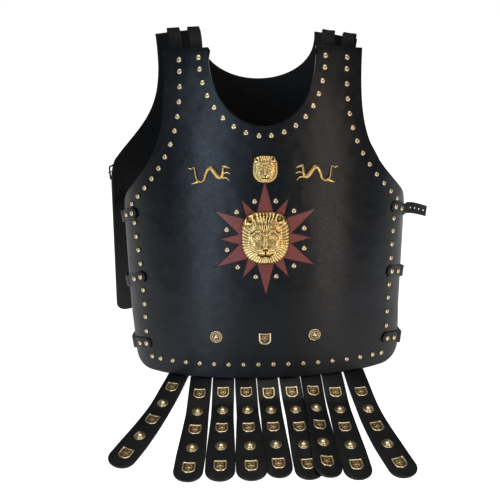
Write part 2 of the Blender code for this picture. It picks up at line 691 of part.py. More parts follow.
def buckle_place(back, side, t, inset):
    """Matrix at a buckle's bar: X from the chape towards the panel's edge, Y along the bar, Z outwards."""
    spot = back.frame(side * (panel_edge(back.cut, t) - inset), t, 0.0)
    outward = spot.col[2].xyz
    along = spot.col[0].xyz * side
    return axes_matrix(along, outward.cross(along), outward, spot.translation + outward * BAR_HEIGHT)


def tube_object(name, points, radius, cyclic, matrix, material, group):
    """A bent wire: a curve with a round bevel, placed by its matrix."""
    curve = bpy.data.curves.new(name, "CURVE")
    curve.dimensions = "3D"
    curve.bevel_depth = radius
    curve.bevel_resolution = 1
    curve.use_fill_caps = True
    spline = curve.splines.new("POLY")
    spline.points.add(len(points) - 1)
    for point, spot in zip(spline.points, points):
        point.co = (*spot, 1.0)
    spline.use_cyclic_u = cyclic
    curve.materials.append(material)
    thing = bpy.data.objects.new(name, curve)
    thing.matrix_world = matrix
    group.objects.link(thing)
    return thing


def frame_points():
    """Centre line of the buckle's wire: a rectangle with rounded corners round the strap's way."""
    points = []
    corners = ((FRAME_LENGTH, -FRAME_HALF, -90), (FRAME_LENGTH, FRAME_HALF, 0), (0.0, FRAME_HALF, 90),
               (0.0, -FRAME_HALF, 180))
    for x, y, start in corners:
        centre_x = x - FRAME_CORNER if x > 0 else x + FRAME_CORNER
        centre_y = y - FRAME_CORNER if y > 0 else y + FRAME_CORNER
        for k in range(3):
            angle = radians(start + 45 * k)
            points.append((centre_x + FRAME_CORNER * cos(angle), centre_y + FRAME_CORNER * sin(angle), 0.0))
    return points


def prong_points():
    """Centre line of the prong: an open ring round the bar, then a straight tongue over the far bar."""
    points = []
    for k in range(9):
        angle = radians(90 + 36 + 36 * (8 - k))
        points.append((PRONG_RING * cos(angle), 0.0, PRONG_RING * sin(angle)))
    points[-1] = (-PRONG_RING * 0.36, 0.0, PRONG_RING * 0.94)
    points.append((0.0, 0.0, PRONG_RING))
    points.append((FRAME_LENGTH + BAR_RADIUS + 0.0010, 0.0, PRONG_RING))
    return points


def make_chape(name, back, side, t, inset, seat, material, group, cutters):
    """A strip folded round the buckle's bar, both its ends riveted on the back's flank."""
    edge = panel_edge(back.cut, t)
    bar = edge - inset
    lower = [back.points(side * (bar - reach), t, CHAPE_LOW) for reach in (CHAPE_LENGTH, 0.022, 0.011, 0.005)]
    ring = []
    for angle in (-90, -45, 0, 45, 90):
        turn = radians(angle)
        spot = seat @ Vector((CHAPE_RING * cos(turn), 0.0, CHAPE_RING * sin(turn)))
        ring.append(np.array(spot))
    heights = (BAR_HEIGHT + CHAPE_RING - 0.0008, CHAPE_UPPER + 0.0002, CHAPE_UPPER, CHAPE_UPPER)
    reaches = (0.004, 0.012, 0.021, CHAPE_LENGTH - 0.002)
    upper = [back.points(side * (bar - reach), t, height) for reach, height in zip(reaches, heights)]
    centres = np.array(lower + ring + upper)
    upward = np.array(seat.col[1][:3])
    sides = np.tile(upward, (len(centres), 1))
    halves = np.full(len(centres), CHAPE_HALF_WIDTH)
    thing = new_object(name, ribbon_mesh(name, centres, sides * -1.0, halves), material, group)
    add_wall(thing, CHAPE_THICKNESS, 0.0)
    level = CHAPE_UPPER + 0.5 * CHAPE_THICKNESS
    places = [back.frame(side * (bar - reach), t, level) for reach in CHAPE_RIVETS]
    heads = stud_mesh(name + "_rivets", places, rivet_profile(0.0008), RIVET_SIDES)
    add_boolean(thing, cutter_object(name + "_rivets", heads, cutters), "UNION")
    length = SLOT_LENGTH + SLOT_REACH
    cut_box(thing, name + "_slot", seat, (0.5 * length - SLOT_LENGTH, 0.0, 0.0),
            (length, 2 * SLOT_HALF_WIDTH, SLOT_DEPTH), cutters)
    return thing


# Skirt straps

def curve_sag(panel, s, half):
    """How far the panel curves inwards, off its tangent plane at s, over a half width to either side."""
    flat = np.array(panel.frame(s, 0.02).inverted())
    sags = [-(flat[:3, :3] @ panel.points(s + step, 0.02, 0.0) + flat[:3, 3])[2] for step in (-half, half)]
    return max(sags)


def skirt_route(front, row):
    """Centre line of a skirt strap: down behind the hem, round its edge, and out along the floor."""
    root = row["root"]
    turn_radius = 0.5 * SKIRT_THICKNESS + SKIRT_GAP
    turn_depth = turn_radius + curve_sag(front, root, row["root_half"])
    inside = -PANEL_THICKNESS - turn_depth
    route = [front.points(root, height, inside) for height in (SKIRT_ROOT_HEIGHT, 0.0030)]
    for angle in (0, 30, 60, 90):
        turn = radians(angle)
        route.append(front.points(root, -turn_radius * sin(turn), -PANEL_THICKNESS - turn_depth * cos(turn)))
    corner = route[-1]
    tip = np.array([row["tip"][0], row["tip"][1], 0.0]) - np.array(ORIGIN)
    heading = tip - np.array([corner[0], corner[1], 0.0])
    length = np.linalg.norm(heading[:2])
    heading = heading / length
    aside = np.array([-heading[1], heading[0], 0.0])
    floor = 0.5 * SKIRT_THICKNESS + row["lift"]
    reaches = [0.006, 0.016, 0.026, 0.036, 0.048, 0.060, 0.080, 0.105]
    cap = [1.0, 0.86, 0.62, 0.36, 0.14, 0.0]
    reaches += [length - SKIRT_TIP_DEPTH * share for share in cap]
    for reach in reaches:
        share = min(reach / row["settle"], 1.0)
        drop = share * share * (3 - 2 * share)
        height = corner[2] + (floor - corner[2]) * (SKIRT_SINK[0] * share + SKIRT_SINK[1] * drop)
        bow = row["bow"] * sin(pi * reach / length)
        route.append(corner * np.array([1, 1, 0]) + heading * reach + aside * bow + np.array([0, 0, height]))
    return np.array(route), heading, np.array([0.0] * 6 + reaches), length


def ornament_place(reach, reaches, centres, sides):
    """Matrix on a skirt strap's top face: X across it, Y towards its root, Z out of it."""
    spot, ahead, behind = (np.array([np.interp(reach + move, reaches[5:], centres[5:, c]) for c in range(3)])
                           for move in (0.0, 0.004, -0.004))
    up = unit(behind - ahead)
    across = unit(np.array([np.interp(reach, reaches[5:], sides[5:, c]) for c in range(3)]))
    out = unit(np.cross(across, up))
    return axes_matrix(np.cross(up, out), up, out, spot + out * 0.5 * SKIRT_THICKNESS)


def placed_by(matrix):
    """A seat for a plate: points (x, y, height) set by a matrix, sunk a little into the leather."""
    def seat(x, y, z):
        return [matrix @ Vector((a, b, c - ORNAMENT_SUNK)) for a, b, c in zip(x, y, z)]
    return seat


def placed_on(panel, place):
    """A seat for a plate: points (x, y, height) bent onto a panel round a place (s, t)."""
    def seat(x, y, z):
        return panel.points(place[0] + x, place[1] + y, GAP + 0.0001 + z)
    return seat


def skirt_strap(name, front, row, material, group, cutters):
    centres, heading, reaches, length = skirt_route(front, row)
    across_root = np.array(front.frame(row["root"], 0.0).col[0][:3])
    along = np.gradient(centres[:, :2], reaches + 1e-6 * np.arange(len(reaches)), axis=0)
    across_floor = unit(np.stack([-along[:, 1], along[:, 0], np.zeros(len(along))], axis=1))
    share = np.clip((reaches - SKIRT_TURNS[0]) / (SKIRT_TURNS[1] - SKIRT_TURNS[0]), 0.0, 1.0)[:, None]
    across_floor[:, 2] = -tan(row["tilt"])
    sides = unit(across_root * (1 - share) + across_floor * share)
    grow = np.clip((reaches - SKIRT_WIDENS[0]) / (SKIRT_WIDENS[1] - SKIRT_WIDENS[0]), 0.0, 1.0)
    full = row["root_half"] + (row["half"] - row["root_half"]) * grow
    near = np.clip(1.0 - (length - reaches) / SKIRT_TIP_DEPTH, 0.0, 1.0)
    halves = full * np.maximum(1.0 - near ** SKIRT_TIP_POWER, 0.0) ** (1 / SKIRT_TIP_POWER)
    halves[-1] = 0.12 * full[-1]
    thing = new_object(name, ribbon_mesh(name, centres, sides, halves), material, group)
    add_wall(thing, SKIRT_THICKNESS, 0.0)
    pieces = []
    for k in range(5):
        reach = length - row["last"] - row["pitch"] * (4 - k)
        place = ornament_place(reach, reaches, centres, sides)
        if k % 2 == 0:
            outline = shield_outline(SHIELD_HALF, SHIELD_HIGH)
            pieces.append(plate_mesh("shield", outline, SHIELD_THICK + ORNAMENT_SUNK, placed_by(place)))
        else:
            profile = ((DOME_PROFILE[0][0], -ORNAMENT_SUNK),) + DOME_PROFILE[1:]
            pieces.append(stud_mesh("dome", [place], profile, ORNAMENT_SIDES))
    ornaments = cutter_object(name + "_ornaments", join_meshes(name + "_ornaments", pieces), cutters)
    add_boolean(thing, ornaments, "UNION")
    return thing


# Ornaments on the front

def bump(x, y, at_x, at_y, wide, high):
    """A round hill of height 1 at a point."""
    return np.exp(-((x - at_x) / wide) ** 2 - ((y - at_y) / high) ** 2)


def lion_relief(x, y, rim):
    """Height of the lion's head, 0 to 1. x and y run from -1 to 1."""
    side = np.abs(x)
    face = 0.52 * (1.0 - np.clip(rim, 0, 1) ** 4)
    nose = 0.34 * bump(x, y, 0.0, -0.12, 0.13, 0.34) + 0.16 * bump(x, y, 0.0, -0.28, 0.15, 0.10)
    muzzle = 0.26 * bump(side, y, 0.17, -0.46, 0.18, 0.15)
    chin = 0.16 * bump(x, y, 0.0, -0.74, 0.22, 0.12)
    mouth = -0.14 * bump(side, y, 0.16, -0.62, 0.26, 0.05)
    brow = 0.20 * bump(side, y, 0.30, 0.22, 0.24, 0.09)
    eye = -0.16 * bump(side, y, 0.32, 0.04, 0.17, 0.11) + 0.14 * bump(side, y, 0.31, 0.03, 0.09, 0.06)
    cheek = 0.14 * bump(side, y, 0.50, -0.18, 0.16, 0.20)
    ear = 0.24 * bump(side, y, 0.72, 0.74, 0.18, 0.16)
    hair = 0.07 * bump(x, y, 0.0, 0.60, 0.40, 0.26) * np.cos(x * 18.0)
    hollow = -0.15 * bump(rim, 0 * rim, 0.70, 0.0, 0.09, 1.0) * np.where(y < 0.45, 1.0, 0.4)
    angle = np.arctan2(y, x)
    locks = 0.06 * np.cos(angle * 26) * np.clip((rim - 0.70) / 0.15, 0, 1) * np.where(y < 0.55, 1.0, 0.3)
    relief = 0.17 + face + nose + muzzle + chin + mouth + brow + eye + cheek + ear + hair + hollow + locks
    return np.clip(relief, 0.12, 1.2)


def lion_edge(angle):
    """Distance from the centre to the outline, for half sizes of 1: a squared oval with ears."""
    power = np.where(np.sin(angle) > 0, 3.6, 2.3)
    oval = (np.abs(np.cos(angle)) ** power + np.abs(np.sin(angle)) ** power) ** (-1.0 / power)
    return oval


def lion_mesh(name, panel, place, half, height, rings, spokes):
    """A closed relief: a polar grid of heights over a base that follows the panel."""
    angle = 2 * pi * np.arange(spokes) / spokes
    edge = lion_edge(angle)
    level = np.linspace(0.0, 1.0, rings + 1)[1:]
    x = level[:, None] * (edge * np.cos(angle))[None]
    y = level[:, None] * (edge * np.sin(angle))[None]
    z = lion_relief(x, y, np.repeat(level[:, None], spokes, axis=1)) * height
    z[-1] = 0.22 * height
    base = GAP + 0.0003
    top = panel.points(place[0] + x * half[0], place[1] + y * half[1], base + z)
    low = panel.points(place[0] + x[-1] * half[0], place[1] + y[-1] * half[1], base)
    centre = np.zeros(1)
    peak = panel.points(place[0], place[1], base + float(lion_relief(centre, centre, centre)[0]) * height)
    bottom = panel.points(place[0], place[1], base)
    bm = bmesh.new()
    rows = [[bm.verts.new(spot) for spot in ring] for ring in top]
    foot = [bm.verts.new(spot) for spot in low]
    summit = bm.verts.new(peak)
    floor = bm.verts.new(bottom)
    for k in range(spokes):
        nxt = (k + 1) % spokes
        bm.faces.new((summit, rows[0][k], rows[0][nxt]))
        for a, b in zip(rows, rows[1:]):
            bm.faces.new((a[k], b[k], b[nxt], a[nxt]))
        bm.faces.new((rows[-1][k], foot[k], foot[nxt], rows[-1][nxt]))
        bm.faces.new((foot[k], floor, foot[nxt]))
    bmesh.ops.recalc_face_normals(bm, faces=bm.faces)
    mesh = bpy.data.meshes.new(name)
    bm.to_mesh(mesh)
    bm.free()
    return mesh


# A sea serpent seen from its side, head to the right: centre lines with half widths, in SERPENT_UNIT
SERPENT_BODY = (
    (-33.0, 9.5, 0.7), (-30.0, 12.5, 1.2), (-26.5, 12.0, 1.5), (-25.5, 6.0, 1.7), (-24.0, -4.0, 1.9),
    (-20.0, -10.5, 2.2), (-14.5, -11.0, 2.6), (-9.5, -6.0, 3.0), (-7.0, 3.0, 3.5), (-3.0, 10.5, 3.9),
    (3.0, 12.0, 4.2), (8.5, 6.0, 4.4), (14.0, -1.5, 4.4), (19.5, -3.0, 4.2), (22.5, 4.0, 3.4),
    (23.5, 12.0, 2.8), (24.5, 17.0, 2.2),
)
SERPENT_PARTS = (
    ((22.5, 15.5, 2.9), (29.0, 14.5, 2.2), (36.0, 12.0, 0.8)),
    ((21.0, 1.0, 2.0), (29.0, 4.5, 1.5), (36.5, 2.5, 0.9)),
    ((20.0, -5.0, 2.0), (29.0, -4.5, 1.5), (35.0, -9.5, 0.9)),
    ((-18.5, -10.5, 2.4), (-25.0, -12.0, 3.4), (-33.5, -15.5, 0.9)),
    ((-31.5, 9.8, 1.0), (-35.5, 11.5, 1.0), (-39.0, 12.2, 0.5)),
)


def bar_mesh(name, stations, height, steps):
    """A flat-topped bar along a smooth centre line, in the flat: stations are (x, y, half width)."""
    path = smooth_path(np.array(stations) * SERPENT_UNIT, steps)
    along = unit(np.gradient(path[:, :2], axis=0))
    left = np.stack([-along[:, 1], along[:, 0]], axis=1)
    half = path[:, 2:3]
    ridge = 0.45
    bm = bmesh.new()
    rows = []
    for spot, out, wide in zip(path[:, :2], left, half):
        ring = []
        for share, level in ((1.0, 0.0), (ridge, 1.0), (-ridge, 1.0), (-1.0, 0.0)):
            x, y = spot + out * wide * share
            ring.append(bm.verts.new((x, y, level * height)))
        rows.append(ring)
    for a, b in zip(rows, rows[1:]):
        for k in range(4):
            nxt = (k + 1) % 4
            bm.faces.new((a[k], a[nxt], b[nxt], b[k]))
    bm.faces.new(rows[0][::-1])
    bm.faces.new(rows[-1])
    bmesh.ops.recalc_face_normals(bm, faces=bm.faces)
    mesh = bpy.data.meshes.new(name)
    bm.to_mesh(mesh)
    bm.free()
    return mesh


def serpent(name, panel, place, material, group, cutters):
    """Body and limbs joined in the flat, then bent onto the panel."""
    body_high, limb_high = SERPENT_HEIGHTS
    body = cutter_object(name + "_flat", bar_mesh(name, SERPENT_BODY, body_high, 1), cutters)
    for k, stations in enumerate(SERPENT_PARTS):
        high = limb_high + 0.0002 * k
        limb = cutter_object(name + "_limb_%d" % k, bar_mesh(name, stations, high, 1), cutters)
        add_boolean(body, limb, "UNION")
    bpy.context.view_layer.update()
    ready = body.evaluated_get(bpy.context.evaluated_depsgraph_get())
    mesh = bpy.data.meshes.new_from_object(ready)
    mesh.name = name
    s, t, way = place
    flat = np.array([vertex.co[:] for vertex in mesh.vertices])
    spots = panel.points(s + way * flat[:, 0], t + flat[:, 1], GAP + 0.0002 + flat[:, 2])
    for vertex, spot in zip(mesh.vertices, spots):
        vertex.co = spot
    if way < 0:
        mesh.flip_normals()
    mesh.materials.clear()
    return new_object(name, mesh, material, group)


def build():
    clear_scene()
    group = bpy.data.collections.new("leather_armour_vest")
    cutters = bpy.data.collections.new("cutters")
    bpy.context.scene.collection.children.link(group)
    bpy.context.scene.collection.children.link(cutters)
    paint = make_materials()
    front = Panel(FRONT_PLACE, FRONT_SECTION, FRONT_CUT)
    back = Panel(BACK_PLACE, BACK_SECTION, BACK_CUT)
    make_panel("front_panel", front, front_rivet_places(front), paint["leather"], group, cutters)
    make_panel("back_panel", back, [], paint["leather"], group, cutters)

    for label, s_front, s_back in SHOULDER_STRAPS:
        name = "shoulder_strap_" + label
        shoulder_strap(name, front, back, s_front, s_back, paint["leather_strap"], group, cutters)

    for k, row in enumerate(SKIRT_STRAPS):
        skirt_strap("skirt_strap_%d" % (k + 1), front, row, paint["leather_strap"], group, cutters)

    for side, word in ((-1, "left"), (1, "right")):
        for level in ("top", "mid", "bottom"):
            build_side(front, back, side, word, level, paint, group, cutters)

    lion = lion_mesh("lion_mask", front, LION_PLACE, LION_HALF, LION_HEIGHT, 8, 32)
    new_object("lion_mask", lion, paint["brass"], group)
    cub = lion_mesh("small_lion", front, SMALL_LION_PLACE, SMALL_LION_HALF, SMALL_LION_HEIGHT, 5, 20)
    new_object("small_lion", cub, paint["brass"], group)
    for place, word in zip(SERPENT_PLACES, ("left", "right")):
        serpent("serpent_" + word, front, place, paint["brass"], group, cutters)
    for place, word in zip(CONCHO_PLACES, ("left", "right")):
        stud = stud_mesh("concho_" + word, [front.frame(*place, GAP + 0.0001)], CONCHO_PROFILE, 16)
        new_object("concho_" + word, stud, paint["brass"], group)
    outline = shield_outline(SHIELD_HALF, SHIELD_HIGH)
    shield = plate_mesh("small_shield", outline, SHIELD_THICK, placed_on(front, SMALL_SHIELD_PLACE))
    new_object("small_shield", shield, paint["brass"], group)


def fastened_way(front, side, row, seat):
    """From the front's edge across to the back and through the buckle."""
    start = front.points(*patch_exit(front, side, row, 0.002), 0.003)
    meeting = np.array(seat @ Vector((0.046, 0.0, 0.0)))
    middle = 0.5 * (start + meeting) - np.array([0.004 * side, 0.0, 0.0])
    return [start, middle] + [np.array(seat @ Vector((x, 0.0, n))) for x, n in FASTENED_WAY]


def build_side(front, back, side, word, level, paint, group, cutters):
    """One strap and buckle pair. On the right the two lower ones are fastened."""
    label = level + "_" + word
    row = SIDE_STRAPS[label]
    t_back = BUCKLE_HEIGHTS[level]
    inset = BUCKLE_INSETS[level]
    seat = buckle_place(back, side, t_back, inset)
    make_chape("chape_" + label, back, side, t_back, inset, seat, paint["leather_strap"], group, cutters)
    tube_object("buckle_" + label, frame_points(), BAR_RADIUS, True, seat, paint["black_metal"], group)
    tube_object("prong_" + label, prong_points(), PRONG_RADIUS, False, seat, paint["black_metal"], group)
    name = "side_strap_" + label
    leather = paint["leather_strap"]
    upright = (0.0, 0.0, 1.0)
    if side > 0 and level != "top":
        back_up = np.array(seat.col[1][:3])
        back_up = back_up * np.sign(back_up[2])
        far = fastened_way(front, side, row, seat)
        thing = side_strap(name, front, side, row, far, back_up, True, (), leather, group, cutters)
        cut_box(thing, name + "_slit", seat, (SLIT_PLACE, 0.0, PRONG_RING), SLIT_SIZE, cutters)
        return thing
    if side > 0:
        start = front.points(*patch_exit(front, side, row, -0.006), 0.0030)
        far = [start] + [start + np.array(step) for step in LOOSE_WAY]
        return side_strap(name, front, side, row, far, upright, False, LOOSE_HOLES, leather, group, cutters)
    start = front.points(*patch_exit(front, side, row, 0.003), 0.0030)
    far = [start] + [start + np.array([-side * x, y, 0.0]) for x, y in TUCKED_WAY]
    return side_strap(name, front, side, row, far, upright, False, (), leather, group, cutters)


build()
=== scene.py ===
# %% [markdown]
# # A leather armour vest, dressed
# The imported model holds the vest's true form in plain solids. This notebook gives each piece its finer
# surface: smooth panels with soft edges and a painted pale highlight along them, round rivets, cast brass
# lions and worn black leather.
# The frame is loaded first, because every new piece rides on one of its bodies.

# %% Load the frame
import math

import bmesh
import bpy
import numpy as np
from mathutils import Matrix, Vector


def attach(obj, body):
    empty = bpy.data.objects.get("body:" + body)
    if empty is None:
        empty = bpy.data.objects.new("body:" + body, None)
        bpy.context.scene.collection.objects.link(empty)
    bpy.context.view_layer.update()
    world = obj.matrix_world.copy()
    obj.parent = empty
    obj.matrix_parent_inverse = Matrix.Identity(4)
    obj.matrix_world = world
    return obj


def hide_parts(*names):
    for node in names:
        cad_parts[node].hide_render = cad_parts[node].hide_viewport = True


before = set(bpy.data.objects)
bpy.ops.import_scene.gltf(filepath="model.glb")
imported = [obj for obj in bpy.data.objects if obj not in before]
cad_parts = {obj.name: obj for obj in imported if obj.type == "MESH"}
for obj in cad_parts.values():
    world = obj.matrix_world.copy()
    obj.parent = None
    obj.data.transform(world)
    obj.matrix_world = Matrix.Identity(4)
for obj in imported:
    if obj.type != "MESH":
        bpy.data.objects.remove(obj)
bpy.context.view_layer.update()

# %% [markdown]
# ## The camera
# The photo was taken from a little above, in front of the vest. A camera with the same tilt and distance
# shows the same ellipses at the ornaments and the same gap between the front's and the back's edges.

# %% Camera
eye = Vector((-0.0256, -0.9404, 0.7866))
camera = bpy.data.objects.new("camera", bpy.data.cameras.new("camera"))
camera.data.lens = 50.4
camera.data.sensor_width = 36.0
camera.data.clip_start = 0.05
camera.matrix_world = Matrix.Translation(eye) @ Matrix.Rotation(math.radians(60.0), 4, "X")
bpy.context.collection.objects.link(camera)
bpy.context.scene.camera = camera
print("camera at", tuple(round(v, 3) for v in eye))

# %% [markdown]
# ## Surfaces from arrays
# A piece is worked out as whole numpy arrays and then handed to Blender in one go. Two helpers do that:
# one for any list of faces, one for a grid of rows and columns. Values that a material needs, such as the
# distance to a piece's edge, travel along as attributes of the points.

# %% Mesh helpers
def new_piece(name, points, faces, values=None):
    """An object from points and faces, with named point attributes of one or three numbers."""
    mesh = bpy.data.meshes.new(name)
    spots = np.asarray(points, float).reshape(-1, 3).tolist()
    mesh.from_pydata(spots, [], [list(map(int, face)) for face in faces])
    for key, rows in (values or {}).items():
        rows = np.asarray(rows, float)
        kind = "FLOAT" if rows.ndim == 1 else "FLOAT_VECTOR"
        layer = mesh.attributes.new(key, kind, "POINT")
        layer.data.foreach_set("value" if rows.ndim == 1 else "vector", rows.ravel())
    mesh.polygons.foreach_set("use_smooth", np.ones(len(mesh.polygons), bool))
    mesh.update()
    thing = bpy.data.objects.new(name, mesh)
    bpy.context.collection.objects.link(thing)
    return thing


def grid_faces(rows, columns, wrap=False, start=0):
    """Quads over a grid of points, counted row by row. wrap joins the last column to the first."""
    index = np.arange(rows * columns).reshape(rows, columns) + start
    if wrap:
        index = np.concatenate([index, index[:, :1]], axis=1)
    corners = (index[:-1, :-1], index[:-1, 1:], index[1:, 1:], index[1:, :-1])
    return np.stack(corners, axis=-1).reshape(-1, 4)


def unit(rows):
    """Each row divided by its own length."""
    return rows / np.maximum(np.linalg.norm(rows, axis=-1, keepdims=True), 1e-12)


def joined_grids(name, grids, values):
    """Many equal closed grids in one mesh: rings by columns, with a cap face on the first and last ring."""
    copies, rings, columns = grids.shape[:3]
    faces = []
    for start in range(0, copies * rings * columns, rings * columns):
        last = start + (rings - 1) * columns
        faces += grid_faces(rings, columns, True, start).tolist()
        faces.append(list(range(start + columns - 1, start - 1, -1)))
        faces.append(list(range(last, last + columns)))
    return new_piece(name, grids.reshape(-1, 3), faces, values)


def faced_outward(piece):
    """Turns all faces of a closed piece outward."""
    bm = bmesh.new()
    bm.from_mesh(piece.data)
    bmesh.ops.recalc_face_normals(bm, faces=bm.faces)
    bm.to_mesh(piece.data)
    bm.free()
    return piece


def give_wall(piece, thick, offset, even, soft_width, soft_angle):
    """Solidify gives a sheet its wall, and Bevel rounds the edges that are sharper than an angle."""
    wall = piece.modifiers.new("wall", "SOLIDIFY")
    wall.thickness = thick
    wall.offset = offset
    wall.use_even_offset = even
    soft = piece.modifiers.new("soft_edge", "BEVEL")
    soft.width = soft_width
    soft.segments = 2
    soft.limit_method = "ANGLE"
    soft.angle_limit = math.radians(soft_angle)


def circle(count):
    """Angles at equal steps round a full turn: 2 pi k / count."""
    return 2 * math.pi * np.arange(count) / count


def interpolated(at, length, rows):
    """Rows of numbers read off at places along a line, between the places whose lengths are given."""
    return np.stack([np.interp(at, length, column) for column in rows.T], axis=-1)


def arc_length(points):
    """The distance run along a polyline up to each of its points."""
    return np.concatenate([[0.0], np.cumsum(np.linalg.norm(np.diff(points, axis=0), axis=1))])


# %% [markdown]
# ## Where the leather lies
# Each panel is a flat cut bent round a general torso. A point of it is named by s, the distance from the
# centre line along the leather, t, the height up the leather, and n, the distance out of its face. The same
# sizes as in the solids are used, so a new piece lies exactly on the old one.

# %% Panel surface
ORIGIN = np.array([-0.0000184, 0.0347283, 0.0])
PANEL_THICK = 0.0035
FLARE_LEVEL = 0.30
FRONT = dict(hem=(0.0, 0.0, 0.0166), lean=15.0, roll=-0.5, yaw=1.6, facing=1, half=(0.245, 0.245),
             depth=(0.126, 0.126), skew=0.065, flare=0.0, sweep=0.034, lobe_from=0.40, lobe_bend=0.6)
BACK = dict(hem=(-0.0215, 0.277, 0.0100), lean=5.0, roll=0.9, yaw=0.0, facing=-1, half=(0.2445, 0.222),
            depth=(0.120, 0.138), skew=-0.05, flare=0.27, sweep=0.0, lobe_from=0.42, lobe_bend=0.3)


def section_curve(half, depth):
    """Half a superellipse, |x/half|^2.15 + |1 - y/depth|^2.15 = 1, up to 80 degrees: x, y, slope and length."""
    turn = np.linspace(0.0, math.pi / 2, 1400)
    power = 2.0 / 2.15
    x = half * np.sin(turn) ** power
    y = depth * (1.0 - np.cos(turn) ** power)
    slope = np.arctan2(np.gradient(y), np.gradient(x))
    keep = slope <= math.radians(80.0)
    x, y = x[keep], y[keep]
    return x, y, slope[keep], np.concatenate([[0.0], np.cumsum(np.hypot(np.diff(x), np.diff(y)))])


def on_curve(curve, size, n):
    """The point at an arc length, moved n along the normal. Past the end the last tangent goes on."""
    x, y, slope, arc = curve
    size = np.maximum(size, 0.0)
    turned = np.interp(size, arc, slope)
    past = np.maximum(size - arc[-1], 0.0)
    return (np.interp(size, arc, x) + past * np.cos(turned) + n * np.sin(turned),
            np.interp(size, arc, y) + past * np.sin(turned) - n * np.cos(turned))


class Panel:
    """A bent sheet: a superellipse in section, leaned, rolled and turned as a whole."""

    def __init__(self, shape):
        self.shape = shape
        self.curves = [section_curve(half, depth) for half, depth in zip(shape["half"], shape["depth"])]
        turns = [Matrix.Rotation(math.radians(angle), 3, axis) for angle, axis in
                 ((shape["yaw"], "Z"), (shape["roll"], "Y"), (-shape["lean"] * shape["facing"], "X"))]
        self.turn = np.array(turns[0] @ turns[1] @ turns[2])
        self.hem = np.array(shape["hem"]) - ORIGIN

    def points(self, s, t, n=0.0):
        """Section point at arc length |s|, pushed out by n along the section's normal, then bent and placed."""
        shape = self.shape
        s, t, n = np.broadcast_arrays(*(np.asarray(v, float) for v in (s, t, n)))
        left, right = on_curve(self.curves[0], -s, n), on_curve(self.curves[1], s, n)
        x = np.where(s < 0, -left[0], right[0])
        bend = shape["lobe_bend"] * np.maximum(t - shape["lobe_from"], 0.0) ** 2
        y = np.where(s < 0, left[1], right[1]) + bend
        swept = shape["sweep"] * np.clip((0.10 - t) / 0.07, 0.0, 1.0)
        x = x * (1.0 + shape["flare"] * np.maximum(FLARE_LEVEL - t, 0.0)) + (shape["skew"] + swept) * y
        return np.stack([x, shape["facing"] * y, t], axis=-1) @ self.turn.T + self.hem

    def axes(self, s, t, n=0.0):
        """Across, up and outward unit vectors at points of the sheet, from small steps over it."""
        step = 0.0005
        across = unit(self.points(s + step, t, n) - self.points(s - step, t, n))
        up = self.points(s, t + step, n) - self.points(s, t - step, n)
        outward = unit(np.cross(across, up)) * self.shape["facing"]
        return across, np.cross(outward, across) * self.shape["facing"], outward


front = Panel(FRONT)
back = Panel(BACK)
print("front hem centre", np.round(front.points(0.0, 0.0), 4))

# %% [markdown]
# ## The flat cuts
# A maker draws each panel flat: hem, side with its armhole, neck and shoulder. The two halves are filled
# between those four lines (a Coons patch: the two ways of blending opposite sides, added, less the corners),
# so the rows of the mesh run along the cut's own edges.

# %% Flat cuts
FRONT_CUT = dict(neck_half=0.081, neck_bottom=0.416, neck_centre=0.520, top=0.533, outer=0.1555, drop=0.004,
                 arm_1=(0.149, 0.400), arm_2=(0.172, 0.362), arm_end=(0.250, 0.303), side_top=(0.2645, 0.272),
                 side_bottom=0.2525, corner=(0.045, 0.030), neck_shift=0.004)
BACK_CUT = dict(neck_half=0.0905, neck_bottom=0.446, neck_centre=0.516, top=0.529, outer=0.1610, drop=0.003,
                arm_1=(0.153, 0.410), arm_2=(0.180, 0.380), arm_end=(0.250, 0.330), side_top=(0.2620, 0.292),
                side_bottom=0.2600, corner=(0.042, 0.032), neck_shift=0.0)
NECK_BELL = 0.055


def bezier(points, steps):
    """De Casteljau's rule: neighbours are mixed again and again until one point is left."""
    f = np.linspace(0.0, 1.0, steps + 1)[:, None]
    level = [np.tile(np.array(p, float), (steps + 1, 1)) for p in points]
    while len(level) > 1:
        level = [a + (b - a) * f for a, b in zip(level, level[1:])]
    return level[0]


def chain(*runs):
    """Joins runs that share their end points."""
    return np.concatenate([runs[0]] + [run[1:] for run in runs[1:]])


def neck_line(cut, steps):
    """A quarter ellipse from the neck's lowest point, then straight up to the shoulder."""
    turn = np.linspace(0.0, math.pi / 2, steps)
    drop = cut["neck_centre"] - cut["neck_bottom"]
    arc = np.stack([cut["neck_half"] * np.sin(turn), cut["neck_centre"] - drop * np.cos(turn)], axis=1)
    return np.vstack([arc, (cut["neck_half"], cut["top"])])


def cut_lines(cut):
    """Hem, side, neck and centre line of a half cut, as fine polylines."""
    wide, high = cut["corner"]
    turn = np.linspace(-math.pi / 2, 0.0, 21)
    arc = np.stack([cut["side_bottom"] - wide + wide * np.cos(turn), high + high * np.sin(turn)], axis=1)
    shoulder = (cut["outer"], cut["top"] - cut["drop"])
    hem = chain(np.linspace((0.0, 0.0), arc[0], 65), arc[:11])
    corner = bezier((cut["side_top"], (cut["side_top"][0], cut["side_top"][1] + 0.020), cut["arm_end"]), 10)
    arm = bezier((cut["arm_end"], cut["arm_2"], cut["arm_1"], shoulder), 60)
    side = chain(arc[10:], np.linspace(arc[-1], cut["side_top"], 61), corner, arm)
    neck = chain(neck_line(cut, 51), np.linspace((cut["neck_half"], cut["top"]), side[-1], len(hem) - 51))
    return hem, side, neck, np.linspace(hem[0], neck[0], len(side))


